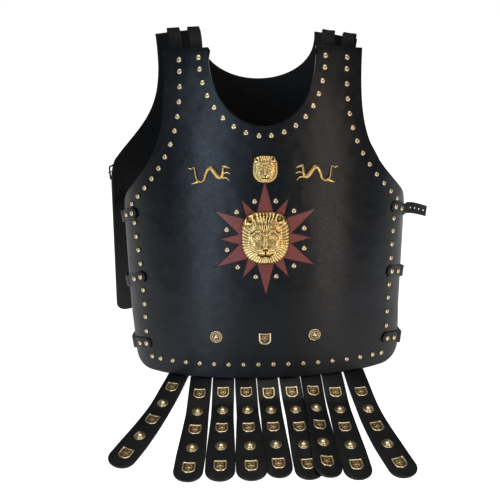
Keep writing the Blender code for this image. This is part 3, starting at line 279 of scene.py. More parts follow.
def cut_grid(cut):
    """The whole cut as a grid of (s, t), left half mirrored, and its outline."""
    hem, side, neck, centre = cut_lines(cut)
    u = np.linspace(0.0, 1.0, len(hem))[None, :, None]
    v = np.linspace(0.0, 1.0, len(side))[:, None, None]
    grid = (1 - v) * hem[None] + v * neck[None] + (1 - u) * centre[:, None] + u * side[:, None]
    corners = (1 - u) * (1 - v) * hem[0] + u * (1 - v) * hem[-1] + (1 - u) * v * neck[0] + u * v * neck[-1]
    grid = grid - corners
    half = chain(hem, side, neck[::-1])
    mirror = np.array([-1.0, 1.0])
    outline = np.concatenate([half, (half * mirror)[::-1]])
    grid = np.concatenate([grid[:, :0:-1] * mirror, grid], axis=1)
    return shifted_neck(grid, cut), shifted_neck(outline, cut)


def shifted_neck(spots, cut):
    """The neck's lower edge is cut a little to one side: a bell over its height, faded out to both sides."""
    s, t = spots[..., 0], spots[..., 1]
    near = np.exp(-((t - cut["neck_bottom"]) / NECK_BELL) ** 2)
    near = near * np.clip((s + 0.10) / 0.08, 0.0, 1.0) * np.clip((0.14 - s) / 0.06, 0.0, 1.0)
    return np.stack([s + cut["neck_shift"] * near, t], axis=-1)


def edge_distance(spots, outline):
    """Smallest distance from each spot to the outline's straight pieces, worked through in blocks."""
    a, b = outline[:-1], outline[1:]
    keep = np.linalg.norm(b - a, axis=1) > 1e-9
    a, b = a[keep], b[keep]
    way = b - a
    length = (way ** 2).sum(axis=1)
    flat = spots.reshape(-1, 2)
    best = np.full(len(flat), 9.0)
    for k in range(0, len(a), 40):
        gap = flat[:, None] - a[None, k:k + 40]
        share = np.clip((gap * way[k:k + 40]).sum(-1) / length[k:k + 40], 0.0, 1.0)
        foot = gap - share[..., None] * way[k:k + 40]
        best = np.minimum(best, np.linalg.norm(foot, axis=-1).min(axis=1))
    return best.reshape(spots.shape[:-1])


# %% [markdown]
# ## Materials
# Smooth black armour leather is dyed almost black with a cold tint, and its finish is a thin, slightly
# uneven gloss. Two scales make it read as leather: slow waves from forming, and a pebble grain of about a
# millimetre. Both are bump, because they're much finer than the mesh. Along a cut edge a pale line is painted
# in as a highlight of the rounded edge: that painted highlight follows an attribute, the distance to the edge.

# %% Node helpers
def material(name):
    """A new material, its node tree and its shader node."""
    made = bpy.data.materials.new(name)
    made.use_nodes = True
    tree = made.node_tree
    return made, tree, tree.nodes["Principled BSDF"]


def node(tree, kind, link=None, **values):
    """A node with its properties and input values set. link maps an input's name to an output socket."""
    made = tree.nodes.new(kind)
    for key, value in values.items():
        if key in made.inputs:
            made.inputs[key].default_value = value
        else:
            setattr(made, key, value)
    for key, socket in (link or {}).items():
        tree.links.new(socket, made.inputs[key])
    return made


def maths(tree, operation, a, b=None, clamp=False):
    """One step of arithmetic: a and b are sockets or numbers."""
    made = tree.nodes.new("ShaderNodeMath")
    made.operation = operation
    made.use_clamp = clamp
    for slot, value in enumerate((a, b)):
        if value is None:
            continue
        if isinstance(value, (int, float)):
            made.inputs[slot].default_value = value
        else:
            tree.links.new(value, made.inputs[slot])
    return made.outputs[0]


def ramp(tree, value, stops):
    """Colours by value: stops are pairs of a position and a colour."""
    made = tree.nodes.new("ShaderNodeValToRGB")
    tree.links.new(value, made.inputs["Fac"])
    while len(made.color_ramp.elements) < len(stops):
        made.color_ramp.elements.new(0.5)
    for spot, (at, colour) in zip(made.color_ramp.elements, stops):
        spot.position = at
        spot.color = (*colour, 1.0)
    return made.outputs["Color"]


def mask(tree, value, low, high, top=1.0):
    """Black up to low, rising to a grey of top at high."""
    return ramp(tree, value, ((low, (0, 0, 0)), (high, (top, top, top))))


def mix(tree, factor, a, b):
    """A blend of two colours, each a socket or three numbers. The factor is a socket."""
    made = tree.nodes.new("ShaderNodeMix")
    made.data_type = "RGBA"
    for key, value in (("Factor", factor), ("A", a), ("B", b)):
        socket = [one for one in made.inputs if one.name == key and one.enabled][0]
        if hasattr(value, "links"):
            tree.links.new(value, socket)
        else:
            socket.default_value = (*value, 1.0)
    return [one for one in made.outputs if one.enabled][0]


def noise(tree, place, scale, detail):
    """Cloudy noise from 0 to 1. scale counts its blots in a metre."""
    return node(tree, "ShaderNodeTexNoise", {"Vector": place}, Scale=scale, Detail=detail).outputs["Fac"]


def swing(tree, value, size):
    """(value - 0.5) times size: a pattern's variation to both sides of nothing."""
    return maths(tree, "MULTIPLY", maths(tree, "SUBTRACT", value, 0.5), size)


def bump(tree, height, strength, distance, below=None):
    """Small relief by shading only. below is the normal of the relief that it lies on."""
    link = {"Height": height} if below is None else {"Height": height, "Normal": below}
    return node(tree, "ShaderNodeBump", link, Strength=strength, Distance=distance).outputs["Normal"]


# %% [markdown]
# The sunburst is dyed into the leather, so it's colour and a fine cut line, never a raised piece. Its twelve
# rays are triangles round one centre: a point is turned to the nearest ray's axis, and it lies inside when
# its distance from that axis is less than the ray's half width there. Six rays are long, six are short.

# %% Leather materials
SUN = dict(s=0.0024, t=0.2395, long=0.0925, short=0.0735, long_half=0.0150, short_half=0.0105, inner=0.034)


def ray_inside(tree, s, t, first, tip, half):
    """How far inside a ray a point is, in metres: positive inside. first is the first ray's angle."""
    squares = maths(tree, "ADD", maths(tree, "MULTIPLY", s, s), maths(tree, "MULTIPLY", t, t))
    radius = maths(tree, "SQRT", squares)
    angle = maths(tree, "SUBTRACT", maths(tree, "ARCTAN2", t, s), first)
    sixth = math.pi / 3
    turn = maths(tree, "ADD", maths(tree, "DIVIDE", angle, sixth), 20.5)
    folded = maths(tree, "ABSOLUTE", maths(tree, "SUBTRACT", maths(tree, "FRACT", turn), 0.5))
    folded = maths(tree, "MULTIPLY", folded, sixth)
    along = maths(tree, "MULTIPLY", radius, maths(tree, "COSINE", folded))
    aside = maths(tree, "MULTIPLY", radius, maths(tree, "SINE", folded))
    wide = maths(tree, "MULTIPLY", maths(tree, "SUBTRACT", tip, along), half / (tip - SUN["inner"]))
    return maths(tree, "SUBTRACT", wide, aside)


def sun_masks(tree, parts, fine):
    """Two masks: the dyed inside of the rays, and the fine cut line along their outline."""
    s = maths(tree, "SUBTRACT", parts["X"], SUN["s"])
    t = maths(tree, "SUBTRACT", parts["Y"], SUN["t"])
    long_ray = ray_inside(tree, s, t, math.pi / 2, SUN["long"], SUN["long_half"])
    short_ray = ray_inside(tree, s, t, 0.0, SUN["short"], SUN["short_half"])
    inside = maths(tree, "ADD", maths(tree, "MAXIMUM", long_ray, short_ray), swing(tree, fine, 0.0009))
    dyed = maths(tree, "ADD", maths(tree, "DIVIDE", inside, 0.0005), 0.5, clamp=True)
    off = maths(tree, "DIVIDE", maths(tree, "ABSOLUTE", inside), 0.0009)
    return dyed, maths(tree, "SUBTRACT", 1.0, off, clamp=True)


def make_leather(name, cold, warm, rough, gloss, sunburst=False):
    """Dyed leather: clouds of two tints, grain, a painted highlight by the cut edge, and on the front the
    sunburst.
    """
    made, tree, shader = material(name)
    place = node(tree, "ShaderNodeTexCoord").outputs["Object"]
    cloud, fine, wave = (noise(tree, place, *sizes) for sizes in ((7.0, 3.0), (160.0, 4.0), (16.0, 2.0)))
    grain = node(tree, "ShaderNodeTexVoronoi", {"Vector": place}, Scale=820.0).outputs["Distance"]
    colour = mix(tree, mask(tree, cloud, 0.35, 0.65), cold, warm)
    colour = mix(tree, mask(tree, fine, 0.40, 0.75, 0.5), colour, tuple(1.45 * c for c in cold))
    flat = node(tree, "ShaderNodeAttribute", attribute_name="flat").outputs["Vector"]
    parts = node(tree, "ShaderNodeSeparateXYZ", {"Vector": flat}).outputs
    centimetres = maths(tree, "MULTIPLY", parts["Z"], 100.0)
    # A painted highlight: the pale rim within 2 mm of the cut edge stands in for light on the rounded edge.
    rim = ramp(tree, centimetres, ((0.0, (1, 1, 1)), (0.20, (0, 0, 0))))
    colour = mix(tree, maths(tree, "MULTIPLY", rim, 0.35), colour, tuple(2.6 * c for c in warm))
    normal = bump(tree, wave, 0.6, 0.004)
    normal = bump(tree, fine, 0.20, 0.0006, normal)
    normal = bump(tree, grain, 0.22, 0.00035, normal)
    if sunburst:
        dyed, cut = sun_masks(tree, parts, fine)
        dye = mix(tree, mask(tree, fine, 0.35, 0.7), (0.185, 0.048, 0.040), (0.135, 0.036, 0.032))
        colour = mix(tree, dyed, colour, dye)
        colour = mix(tree, maths(tree, "MULTIPLY", cut, 0.75), colour, (0.028, 0.014, 0.014))
        normal = bump(tree, maths(tree, "MULTIPLY", cut, -1.0), 0.8, 0.0008, normal)
    uneven = maths(tree, "ADD", swing(tree, cloud, 0.16), swing(tree, fine, 0.20))
    tree.links.new(colour, shader.inputs["Base Color"])
    tree.links.new(maths(tree, "ADD", uneven, rough, clamp=True), shader.inputs["Roughness"])
    tree.links.new(normal, shader.inputs["Normal"])
    shader.inputs["Specular IOR Level"].default_value = gloss
    return made


panel_leather = make_leather("panel_leather", (0.0018, 0.0030, 0.0052), (0.0026, 0.0028, 0.0030), 0.33, 0.22,
                             sunburst=True)
back_leather = make_leather("back_leather", (0.0022, 0.0025, 0.0030), (0.0028, 0.0027, 0.0025), 0.55, 0.16)
strap_leather = make_leather("strap_leather", (0.0026, 0.0031, 0.0042), (0.0030, 0.0030, 0.0030), 0.42, 0.22)
plain_leather = make_leather("plain_leather", (0.0022, 0.0024, 0.0028), (0.0025, 0.0024, 0.0023), 0.62, 0.12)


# %% [markdown]
# Antique brass is bright where hands and cloth rub it and dark in its hollows. Each brass shape is worked
# out as heights, so its hollows are known: the attribute "cavity" is 0 on the ridges and 1 in the depths,
# and the colour and roughness follow it.

# %% Brass and black metal
def make_brass(name, bright, middle, dark, rough, tarnish):
    """Brass that goes from bright to dark with the cavity plus patches of tarnish."""
    made, tree, shader = material(name)
    place = node(tree, "ShaderNodeTexCoord").outputs["Object"]
    cavity = node(tree, "ShaderNodeAttribute", attribute_name="cavity").outputs["Fac"]
    specks = noise(tree, place, 900.0, 2.0)
    worn = maths(tree, "ADD", cavity, swing(tree, noise(tree, place, 90.0, 4.0), tarnish))
    colour = ramp(tree, worn, ((0.10, bright), (0.42, middle), (0.95, dark)))
    tree.links.new(colour, shader.inputs["Base Color"])
    shader.inputs["Metallic"].default_value = 1.0
    total = maths(tree, "ADD", maths(tree, "MULTIPLY", worn, 0.30), rough, clamp=True)
    tree.links.new(total, shader.inputs["Roughness"])
    tree.links.new(bump(tree, specks, 0.12, 0.0002), shader.inputs["Normal"])
    return made


gold = make_brass("antique_brass", (0.66, 0.48, 0.21), (0.34, 0.215, 0.070), (0.016, 0.009, 0.003), 0.27, 0.60)
pale_gold = make_brass("pale_brass", (0.62, 0.50, 0.31), (0.40, 0.29, 0.14), (0.045, 0.024, 0.008), 0.30, 0.45)

black_metal, tree, shader = material("black_enamel")
place = node(tree, "ShaderNodeTexCoord").outputs["Object"]
scuff = noise(tree, place, 400.0, 3.0)
enamel = ramp(tree, scuff, ((0.4, (0.012, 0.012, 0.013)), (0.8, (0.035, 0.034, 0.032))))
tree.links.new(enamel, shader.inputs["Base Color"])
tree.links.new(maths(tree, "ADD", maths(tree, "MULTIPLY", scuff, 0.25), 0.22), shader.inputs["Roughness"])
shader.inputs["Metallic"].default_value = 0.6
tree.links.new(bump(tree, scuff, 0.1, 0.0003), shader.inputs["Normal"])

# The dark ring under each rivet head is partly pressed, darkened leather and partly painted shade round the
# head.
pressed_ring_and_shade, tree, shader = material("pressed_ring_and_painted_shade")
place = node(tree, "ShaderNodeTexCoord").outputs["Object"]
ring_mottle = noise(tree, place, 500.0, 2.0)
ring_and_shade_colour = ramp(tree, ring_mottle, ((0.3, (0.006, 0.005, 0.004)), (0.8, (0.020, 0.014, 0.007))))
tree.links.new(ring_and_shade_colour, shader.inputs["Base Color"])
shader.inputs["Roughness"].default_value = 0.6
print("materials:", [one.name for one in bpy.data.materials][:8])


def finish(piece, paint, nodes=(), body="vest"):
    """Paints a piece, seats it on its body and, if it stands for solids, hides them."""
    piece.data.materials.clear()
    piece.data.materials.append(paint)
    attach(piece, body)
    if nodes:
        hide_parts(*nodes)


# %% [markdown]
# ## The two panels
# Thick leather that was wetted and formed has one smooth skin, so each panel is a fine grid on its bent
# surface, given its wall by Solidify and a soft cut edge by Bevel. The edge distance goes with each point.

# %% Front and back
def make_panel(name, panel, cut, paint, node_name, ripple):
    """A panel's grid on its bent surface, with forming marks that fade out towards the edge."""
    grid, outline = cut_grid(cut)
    if panel.shape["facing"] < 0:
        grid = grid[:, ::-1]
    s, t = grid[..., 0], grid[..., 1]
    edge = edge_distance(grid, outline)
    spots = panel.points(s, t, ripple(s, t) * np.clip(edge / 0.02, 0.0, 1.0))
    values = {"flat": np.stack([s, t, edge], axis=-1).reshape(-1, 3)}
    piece = new_piece(name, spots, grid_faces(*grid.shape[:2]), values)
    give_wall(piece, PANEL_THICK, -1.0, False, 0.0007, 60.0)
    finish(piece, paint, (node_name,))


def fold_at(s, t, at_s, at_t, lean, long, wide):
    """A Gaussian ridge round a place: its line leans from s towards t, long along it and wide across."""
    along = (s - at_s) * math.cos(lean) + (t - at_t) * math.sin(lean)
    aside = -(s - at_s) * math.sin(lean) + (t - at_t) * math.cos(lean)
    return np.exp(-(along / long) ** 2 - (aside / wide) ** 2)


def front_ripple(s, t):
    """Forming marks: slow swells, and a few small wrinkles near the shoulders and the armholes."""
    swell = 0.0006 * np.sin(9.0 * s + 3.0) * np.cos(7.0 * t + 1.0) + 0.0004 * np.sin(23.0 * s - 11.0 * t)
    for at_s, at_t, lean, size in ((0.132, 0.448, 0.9, 0.0008), (0.138, 0.436, 0.7, 0.0007),
                                   (0.128, 0.462, 1.1, 0.0006), (-0.130, 0.440, -0.8, 0.0005),
                                   (-0.215, 0.120, 0.2, 0.0006), (0.220, 0.150, -0.2, 0.0006)):
        swell = swell + size * fold_at(s, t, at_s, at_t, lean, 0.014, 0.0035)
    return swell


def back_ripple(s, t):
    """The back's slow swells, and the faint fold that shows inside by the armhole."""
    swell = 0.0006 * np.sin(8.0 * s - 1.0) * np.cos(6.0 * t)
    return swell + 0.0009 * fold_at(s, t, -0.19, 0.37, 0.6, 0.03, 0.004)


make_panel("front_leather", front, FRONT_CUT, panel_leather, "front_panel", front_ripple)
make_panel("back_leather", back, BACK_CUT, back_leather, "back_panel", back_ripple)

# %% [markdown]
# ## Rivets
# Each rivet is a small turned brass head with a dimple from the setting tool, in a dark ring: pressed leather
# plus painted shade round the head. One profile is turned round every rivet's own axis at once.

# %% Rivet tools
RIVET_PROFILE = np.array([(0.00415, -0.0008), (0.00418, 0.0004), (0.00395, 0.0011), (0.0034, 0.0018),
                          (0.0025, 0.00228), (0.0017, 0.00240), (0.0011, 0.00215), (0.0005, 0.00185)])
RIVET_CAVITY = np.array([0.9, 0.75, 0.15, 0.0, 0.0, 0.05, 0.5, 0.7])
RING_PROFILE = np.array([(0.0052, -0.0003), (0.0052, 0.00012), (0.0046, 0.00022), (0.0038, 0.00022)])


def turned(name, centres, axes, profile, cavity, sides, paint):
    """Profiles of (radius, height) turned round many axes: centre + radius on a circle + height outward."""
    across, up, outward = axes
    turn = circle(sides)
    ring = np.cos(turn)[None, :, None] * across[:, None] + np.sin(turn)[None, :, None] * up[:, None]
    grids = (centres[:, None, None] + profile[None, :, 0, None, None] * ring[:, None]
             + profile[None, :, 1, None, None] * outward[:, None, None])
    values = {"cavity": np.tile(np.repeat(cavity, sides), len(centres))}
    finish(joined_grids(name, grids, values), paint)


def rivets(name, centres, axes, scale=1.0):
    """Brass heads, each in a dark ring that is partly pressed leather and partly painted shade round the head.
    """
    turned(name, centres, axes, RIVET_PROFILE * scale, RIVET_CAVITY, 16, pale_gold)
    turned(name + "_shaded_rings", centres, axes, RING_PROFILE * scale, np.ones(4), 16, pressed_ring_and_shade)


def even_spots(line, count, start, end, closer):
    """Spots at equal steps along a polyline, but for the last step, which is shorter by the share closer."""
    length = arc_length(line)
    share = np.append(np.arange(count - 1), count - 2 + closer) / (count - 2 + closer)
    at = start + (length[-1] - end - start) * share
    return interpolated(at, length, line)


# %% Rivet rows of the front
HEM_RIVETS, HEM_PITCH = 16, 0.0249
SUN_RIVETS, SUN_RADIUS = 12, 0.0636
hem_s = 0.0012 + (np.arange(HEM_RIVETS) - 0.5 * (HEM_RIVETS - 1)) * HEM_PITCH
hem_row = np.stack([hem_s, 0.0245 - 0.0135 * np.maximum(hem_s, 0.0)], axis=1)
neck = neck_line(FRONT_CUT, 24)
along = unit(np.gradient(neck, axis=0))
neck_row = even_spots(neck - 0.0150 * np.stack([-along[:, 1], along[:, 0]], axis=1), 9, 0.0088, 0.0150, 0.85)
arm_line = bezier(((0.234, 0.288), (0.147, 0.359), (0.125, 0.412), (0.1285, 0.515)), 24)
arm_row = even_spots(arm_line, 13, 0.0, 0.0, 0.76)
left_row = np.array([(0.0250, 0.0495), (0.0690, 0.0420), (0.0950, 0.0435), (0.1180, 0.0440), (0.1426, 0.0437),
                     (0.1880, 0.0425), (0.2112, 0.0400), (0.2339, 0.0378), (0.2572, 0.0362)])
right_row = np.array([(0.0205, 0.0465), (0.0678, 0.0375), (0.0935, 0.0370), (0.1182, 0.0365), (0.1415, 0.0365),
                      (0.1873, 0.0360), (0.2113, 0.0360), (0.2340, 0.0355), (0.2553, 0.0352)])
rows = [hem_row]
for side, flank in ((-1, left_row), (1, right_row)):
    inner = 0.2525 + 0.0120 * flank[:, 0] / 0.272 - flank[:, 1]
    rows.append(np.stack([side * inner, flank[:, 0]], axis=1))
    rows.append(shifted_neck(neck_row * (side, 1.0), FRONT_CUT))
    rows.append(arm_row * (side, 1.0) + (0.0016, 0.0))
sun_turn = 2 * math.pi * (np.arange(SUN_RIVETS) + 0.5) / SUN_RIVETS
rows.append(np.stack([0.0027 + SUN_RADIUS * np.sin(sun_turn), 0.2388 + SUN_RADIUS * np.cos(sun_turn)], axis=1))
spots = np.concatenate(rows)
where = spots[:, 0], spots[:, 1]
rivets("front_rivets", front.points(*where), front.axes(*where), 0.95)
print("front rivets:", len(spots))

# %% [markdown]
# ## Straps
# A strap is a rounded flat bar carried along a smooth path. At each station the bar's section is set up from
# the path's direction and the strap's own width direction. Its width closes to nothing where the end is cut
# round. The smooth path goes through every named point (a Catmull-Rom curve: a cubic between two points
# whose slope at each is half the step between that point's neighbours).

# %% Strap tools
SECTION = np.array([(-1.0, -0.55), (-0.97, -0.90), (-0.93, -1.0), (-0.5, -1.0), (0.0, -1.0), (0.5, -1.0),
                    (0.93, -1.0), (0.97, -0.90), (1.0, -0.55), (1.0, 0.55), (0.97, 0.90), (0.93, 1.0),
                    (0.5, 1.0), (0.0, 1.0), (-0.5, 1.0), (-0.93, 1.0), (-0.97, 0.90), (-1.0, 0.55)])


def smooth_path(points, steps):
    """A Catmull-Rom curve through the points, with a number of steps between each two."""
    points = np.array(points, float)
    padded = np.vstack([2 * points[0] - points[1], points, 2 * points[-1] - points[-2]])
    f = np.linspace(0.0, 1.0, steps, endpoint=False)[None, :, None]
    a, b, c, d = (padded[k:k + len(points) - 1][:, None] for k in range(4))
    rows = 0.5 * (2 * b + (c - a) * f + (2 * a - 5 * b + 4 * c - d) * f ** 2 + (3 * b - a - 3 * c + d) * f ** 3)
    return np.vstack([rows.reshape(-1, points.shape[1]), points[-1:]])


def flat_places(x, length, halves):
    """The attribute flat for a strap: place across, place along, and the distance to the nearest edge."""
    far = np.minimum(length, length[-1] - length)[:, None]
    edge = np.minimum(halves[:, None] - np.abs(x), far)
    return np.stack([x, np.broadcast_to(length[:, None], x.shape), edge], axis=-1).reshape(-1, 3)


def strap(name, centres, sides, halves, thick, paint):
    """Section points: centre + width direction times half width + strap's normal times half thickness."""
    run = unit(np.gradient(centres, axis=0))
    sides = unit(sides - run * (sides * run).sum(-1, keepdims=True))
    normal = np.cross(sides, run)
    x = SECTION[None, :, 0] * halves[:, None]
    height = 0.5 * thick * SECTION[None, :, 1]
    grid = centres[:, None] + x[..., None] * sides[:, None] + height[..., None] * normal[:, None]
    length = arc_length(centres)
    count = len(SECTION)
    last = (len(centres) - 1) * count
    faces = grid_faces(len(centres), count, True)[:, ::-1].tolist()
    faces += [list(range(count)), list(range(last + count - 1, last - 1, -1))]
    piece = new_piece(name + "_leather", grid, faces, {"flat": flat_places(x, length, halves)})
    finish(piece, paint, (name,))


def rounded_end(halves, reach):
    """Half widths that close in a half circle at the end that lies reach away."""
    near = np.clip(1.0 - reach / halves[-1], 0.0, 0.985)
    return halves * np.sqrt(1.0 - near ** 2)


# %% [markdown]
# ### Shoulder straps
# Four short straps join the panels. Each starts behind the front's lobe, goes over the back's top edge and
# is riveted down the back's outer face. On the top edge they stand a strap's thickness above the leather.

# %% Shoulder straps
GAP = 0.0004
STRAP_THICK = 0.0024
SHOULDER_HALF = 0.0094
shoulders = (("outer_left", -0.1350, -0.1330), ("inner_left", -0.1015, -0.1015),
             ("inner_right", 0.1030, 0.1130), ("outer_right", 0.1335, 0.1480))
for label, s_front, s_back in shoulders:
    deep = -(PANEL_THICK + GAP + 0.0022 + 0.5 * STRAP_THICK)
    high = 0.5 * STRAP_THICK + GAP
    top_front, top_back = FRONT_CUT["top"], BACK_CUT["top"]
    route = [front.points(s_front, top_front + rise, deep) for rise in (-0.040, -0.018, 0.004)]
    last = route[-1]
    over = back.points(s_back, top_back + 0.0038, -0.0050)
    for share, drop in ((0.25, 0.0040), (0.60, 0.0)):
        middle = last + (over - last) * share
        route.append(np.array([middle[0], middle[1], over[2] - drop]))
    for rise, out in ((0.0038, -0.0050), (0.0036, -0.0010), (0.0012, high + 0.0014), (-0.0040, high + 0.0008),
                      (-0.0240, high + 0.0002), (-0.0500, high + 0.0002)):
        route.append(back.points(s_back, top_back + rise, out))
    centres = smooth_path(route, 5)
    start = front.axes(s_front, top_front - 0.02)[0]
    end = back.axes(s_back, top_back - 0.02)[0]
    share = np.linspace(0.0, 1.0, len(centres))[:, None]
    sides = unit(start * (1 - share) + end * share)
    name = "shoulder_strap_" + label
    strap(name, centres, sides, np.full(len(centres), SHOULDER_HALF), STRAP_THICK, plain_leather)
    s = np.full(2, s_back)
    t = top_back - np.array([0.020, 0.040])
    out = high + 0.0002 + 0.5 * STRAP_THICK
    rivets(name + "_rivets", back.points(s, t, out), back.axes(s, t, out))
print("shoulder straps:", len(shoulders))

# %% [markdown]
# ### Skirt straps
# Nine straps are riveted behind the hem, turn round its lower edge and fan out on the floor. A strap's path
# is exact in three parts: straight down behind the panel, a quarter turn round the cut edge, and a run that
# sinks to the floor along an S curve, 3 share squared less 2 share cubed. The tip is a superellipse.

# %% Skirt straps
SKIRT_THICK = 0.0030
SKIRT_TIP = 0.0205
# A path has 8 points behind the panel and 9 round its edge. The last of them starts the run on the floor.
FLOOR_FROM = 16
# Root along the hem, half width there, tip on the floor, bow, half width, lift, tilt, settling distance,
# distance of the last ornament from the tip, pitch of the ornaments
SKIRT = ((-0.1530, 0.0184, (-0.2230, -0.1785), 0.0062, 0.0220, 0.0, 0.0, 0.086, 0.0275, 0.0385),
         (-0.1105, 0.0184, (-0.1165, -0.2066), 0.0015, 0.0220, 0.0, 0.0, 0.088, 0.0250, 0.0385),
         (-0.0712, 0.0181, (-0.0690, -0.2056), 0.0, 0.0222, 0.0, 0.0, 0.055, 0.0274, 0.0385),
         (-0.0338, 0.0178, (-0.0222, -0.2074), 0.0, 0.0228, 0.0035, 0.0, 0.060, 0.0264, 0.0385),
         (0.0030, 0.0177, (0.0183, -0.1992), 0.0, 0.0201, 0.0, 0.0, 0.040, 0.0259, 0.0373),
         (0.0405, 0.0176, (0.0624, -0.2024), 0.0, 0.0214, 0.0, 0.0, 0.045, 0.0280, 0.0382),
         (0.0766, 0.0175, (0.0890, -0.2012), 0.0, 0.0212, 0.0032, 7.5, 0.060, 0.0295, 0.0373),
         (0.1130, 0.0181, (0.1330, -0.2026), -0.0010, 0.0214, 0.0, 0.0, 0.060, 0.0272, 0.0385),
         (0.1530, 0.0185, (0.2030, -0.1980), -0.0075, 0.0220, 0.0, 0.0, 0.115, 0.0275, 0.0385))


def curve_sag(panel, s, half):
    """How far the panel curves inwards, off its tangent plane at s, over a half width to either side."""
    outward = panel.axes(s, 0.02)[2]
    middle = panel.points(s, 0.02)
    return max(-float((panel.points(s + step, 0.02) - middle) @ outward) for step in (-half, half))


def skirt_path(root, root_half, tip, bow, lift, settle):
    """Centres, the reach of each along the floor, and the whole reach."""
    radius = 0.5 * SKIRT_THICK + 0.0009
    deep = radius + curve_sag(front, root, root_half)
    down = [front.points(root, height, -PANEL_THICK - deep) for height in np.linspace(0.040, 0.003, 8)]
    turn = np.radians(np.linspace(0.0, 90.0, 9))
    turned = [front.points(root, -radius * math.sin(a), -PANEL_THICK - deep * math.cos(a)) for a in turn]
    corner = turned[-1]
    heading = np.array([*tip, 0.0]) - ORIGIN - corner * np.array([1.0, 1.0, 0.0])
    length = np.linalg.norm(heading)
    heading = heading / length
    aside = np.array([-heading[1], heading[0], 0.0])
    cap = 1.0 - np.sin(np.linspace(0.0, math.pi / 2, 14)[1:])
    reaches = np.concatenate([np.linspace(0.004, length - SKIRT_TIP, 46), length - SKIRT_TIP * cap])
    floor = 0.5 * SKIRT_THICK + lift
    share = np.minimum(reaches / settle, 1.0)
    height = corner[2] + (floor - corner[2]) * (0.45 * share + 0.55 * share * share * (3 - 2 * share))
    run = corner * np.array([1.0, 1.0, 0.0]) + heading * reaches[:, None]
    run = run + aside * (bow * np.sin(math.pi * reaches / length))[:, None]
    run[:, 2] = height
    centres = np.vstack([down, turned, run])
    return centres, np.concatenate([np.zeros(len(down) + len(turned)), reaches]), length


def fade(low, high, value):
    """A smooth step from 0 at low to 1 at high."""
    share = np.clip((value - low) / (high - low), 0.0, 1.0)
    return share * share * (3 - 2 * share)


shield_seats, dome_seats = [], []
for k, (root, root_half, tip, bow, half, lift, tilt, settle, last, pitch) in enumerate(SKIRT):
    centres, reaches, length = skirt_path(root, root_half, tip, bow, lift, settle)
    slope = np.gradient(centres[:, :2], np.arange(len(centres)), axis=0)
    across = unit(np.stack([-slope[:, 1], slope[:, 0], np.zeros(len(slope))], axis=1))
    across[:, 2] = -math.tan(math.radians(tilt))
    share = np.clip((reaches - 0.006) / 0.036, 0.0, 1.0)[:, None]
    sides = unit(front.axes(root, 0.0)[0] * (1 - share) + across * share)
    full = root_half + (half - root_half) * np.clip((reaches - 0.080) / 0.085, 0.0, 1.0)
    near = np.clip(1.0 - (length - reaches) / SKIRT_TIP, 0.0, 0.998)
    halves = full * (1.0 - near ** 2.2) ** (1 / 2.2)
    name = "skirt_strap_%d" % (k + 1)
    strap(name, centres, sides, halves, SKIRT_THICK, strap_leather)
    for step in range(5):
        reach = length - last - pitch * (4 - step)
        middle, ahead, behind = (interpolated(reach + move, reaches[FLOOR_FROM:], centres[FLOOR_FROM:])
                                 for move in (0.0, 0.004, -0.004))
        up = unit(behind - ahead)
        side = unit(interpolated(reach, reaches[FLOOR_FROM:], sides[FLOOR_FROM:]))
        out = unit(np.cross(side, up))
        seat = (middle + out * 0.5 * SKIRT_THICK, np.cross(up, out), up, out)
        (shield_seats if step % 2 == 0 else dome_seats).append(seat)
print("skirt straps:", len(SKIRT), "shields:", len(shield_seats), "domes:", len(dome_seats))

# %% [markdown]
# ### Straps with holes
# A chape has a slot for the buckle's prong, a fastened strap has the slit the prong goes through, and the
# loose strap has four round holes. Such a strap is a sheet of small cells with some cells left out. Solidify
# gives it a wall, inside the holes too, and Bevel softens all its edges.

# %% Pierced straps
def pierced(name, centres, sides, halves, columns, missing, thick, paint):
    """A sheet of cells across columns, given as shares of the half width. missing(length, x) marks holes."""
    length = arc_length(centres)
    x = halves[:, None] * np.array(columns)[None]
    grid = centres[:, None] + x[..., None] * unit(sides)[:, None]
    middle_x = 0.25 * (x[:-1, :-1] + x[1:, :-1] + x[:-1, 1:] + x[1:, 1:])
    middle_l = np.broadcast_to(0.5 * (length[:-1] + length[1:])[:, None], middle_x.shape)
    keep = ~missing(middle_l, middle_x)
    faces = grid_faces(*x.shape).reshape(*keep.shape, 4)[keep]
    used, faces = np.unique(faces, return_inverse=True)
    values = {"flat": flat_places(x, length, halves)[used]}
    piece = new_piece(name + "_leather", grid.reshape(-1, 3)[used], faces.reshape(-1, 4), values)
    give_wall(piece, thick, 0.0, True, 0.0004, 50.0)
    finish(piece, paint, (name,))


def slit_at(middle, half):
    """Marks the cells of a slit round a place along the strap."""
    return lambda l, x: (np.abs(l - middle) < half) & (np.abs(x) < 0.001)


# %% [markdown]
# ### Side straps, chapes and buckles
# Each strap starts as a riveted patch on the front's flank. The left ones tuck in behind the edge, the two
# lower right ones run through their buckles, and the top right one hangs loose and shows its holes.

# %% Side sizes
# Height of the first rivet, length of the patch up to the edge, and the strap's fall in degrees
SIDE_STRAPS = dict(top_left=(0.2730, 0.044, 16.0), mid_left=(0.1655, 0.052, 20.0),
                   bottom_left=(0.0475, 0.051, 12.0), top_right=(0.2750, 0.044, 18.0),
                   mid_right=(0.1645, 0.044, 12.0), bottom_right=(0.0450, 0.046, 12.0))
BUCKLE_HEIGHTS = dict(top=0.3060, mid=0.1540, bottom=0.0440)
BUCKLE_INSETS = dict(top=0.022, mid=0.036, bottom=0.036)
LOOSE_WAY = ((0.006, 0.008, -0.001), (0.018, 0.013, -0.004), (0.030, 0.0155, -0.008), (0.042, 0.0165, -0.012))
LOOSE_HOLES = np.array((0.0060, 0.0145, 0.0228, 0.0315))
TUCKED_WAY = ((0.004, 0.022, 0.0), (0.024, 0.044, 0.0))
STRAP_HALF = 0.0097
BAR_RADIUS = 0.0016
FRAME_LONG = 0.0180
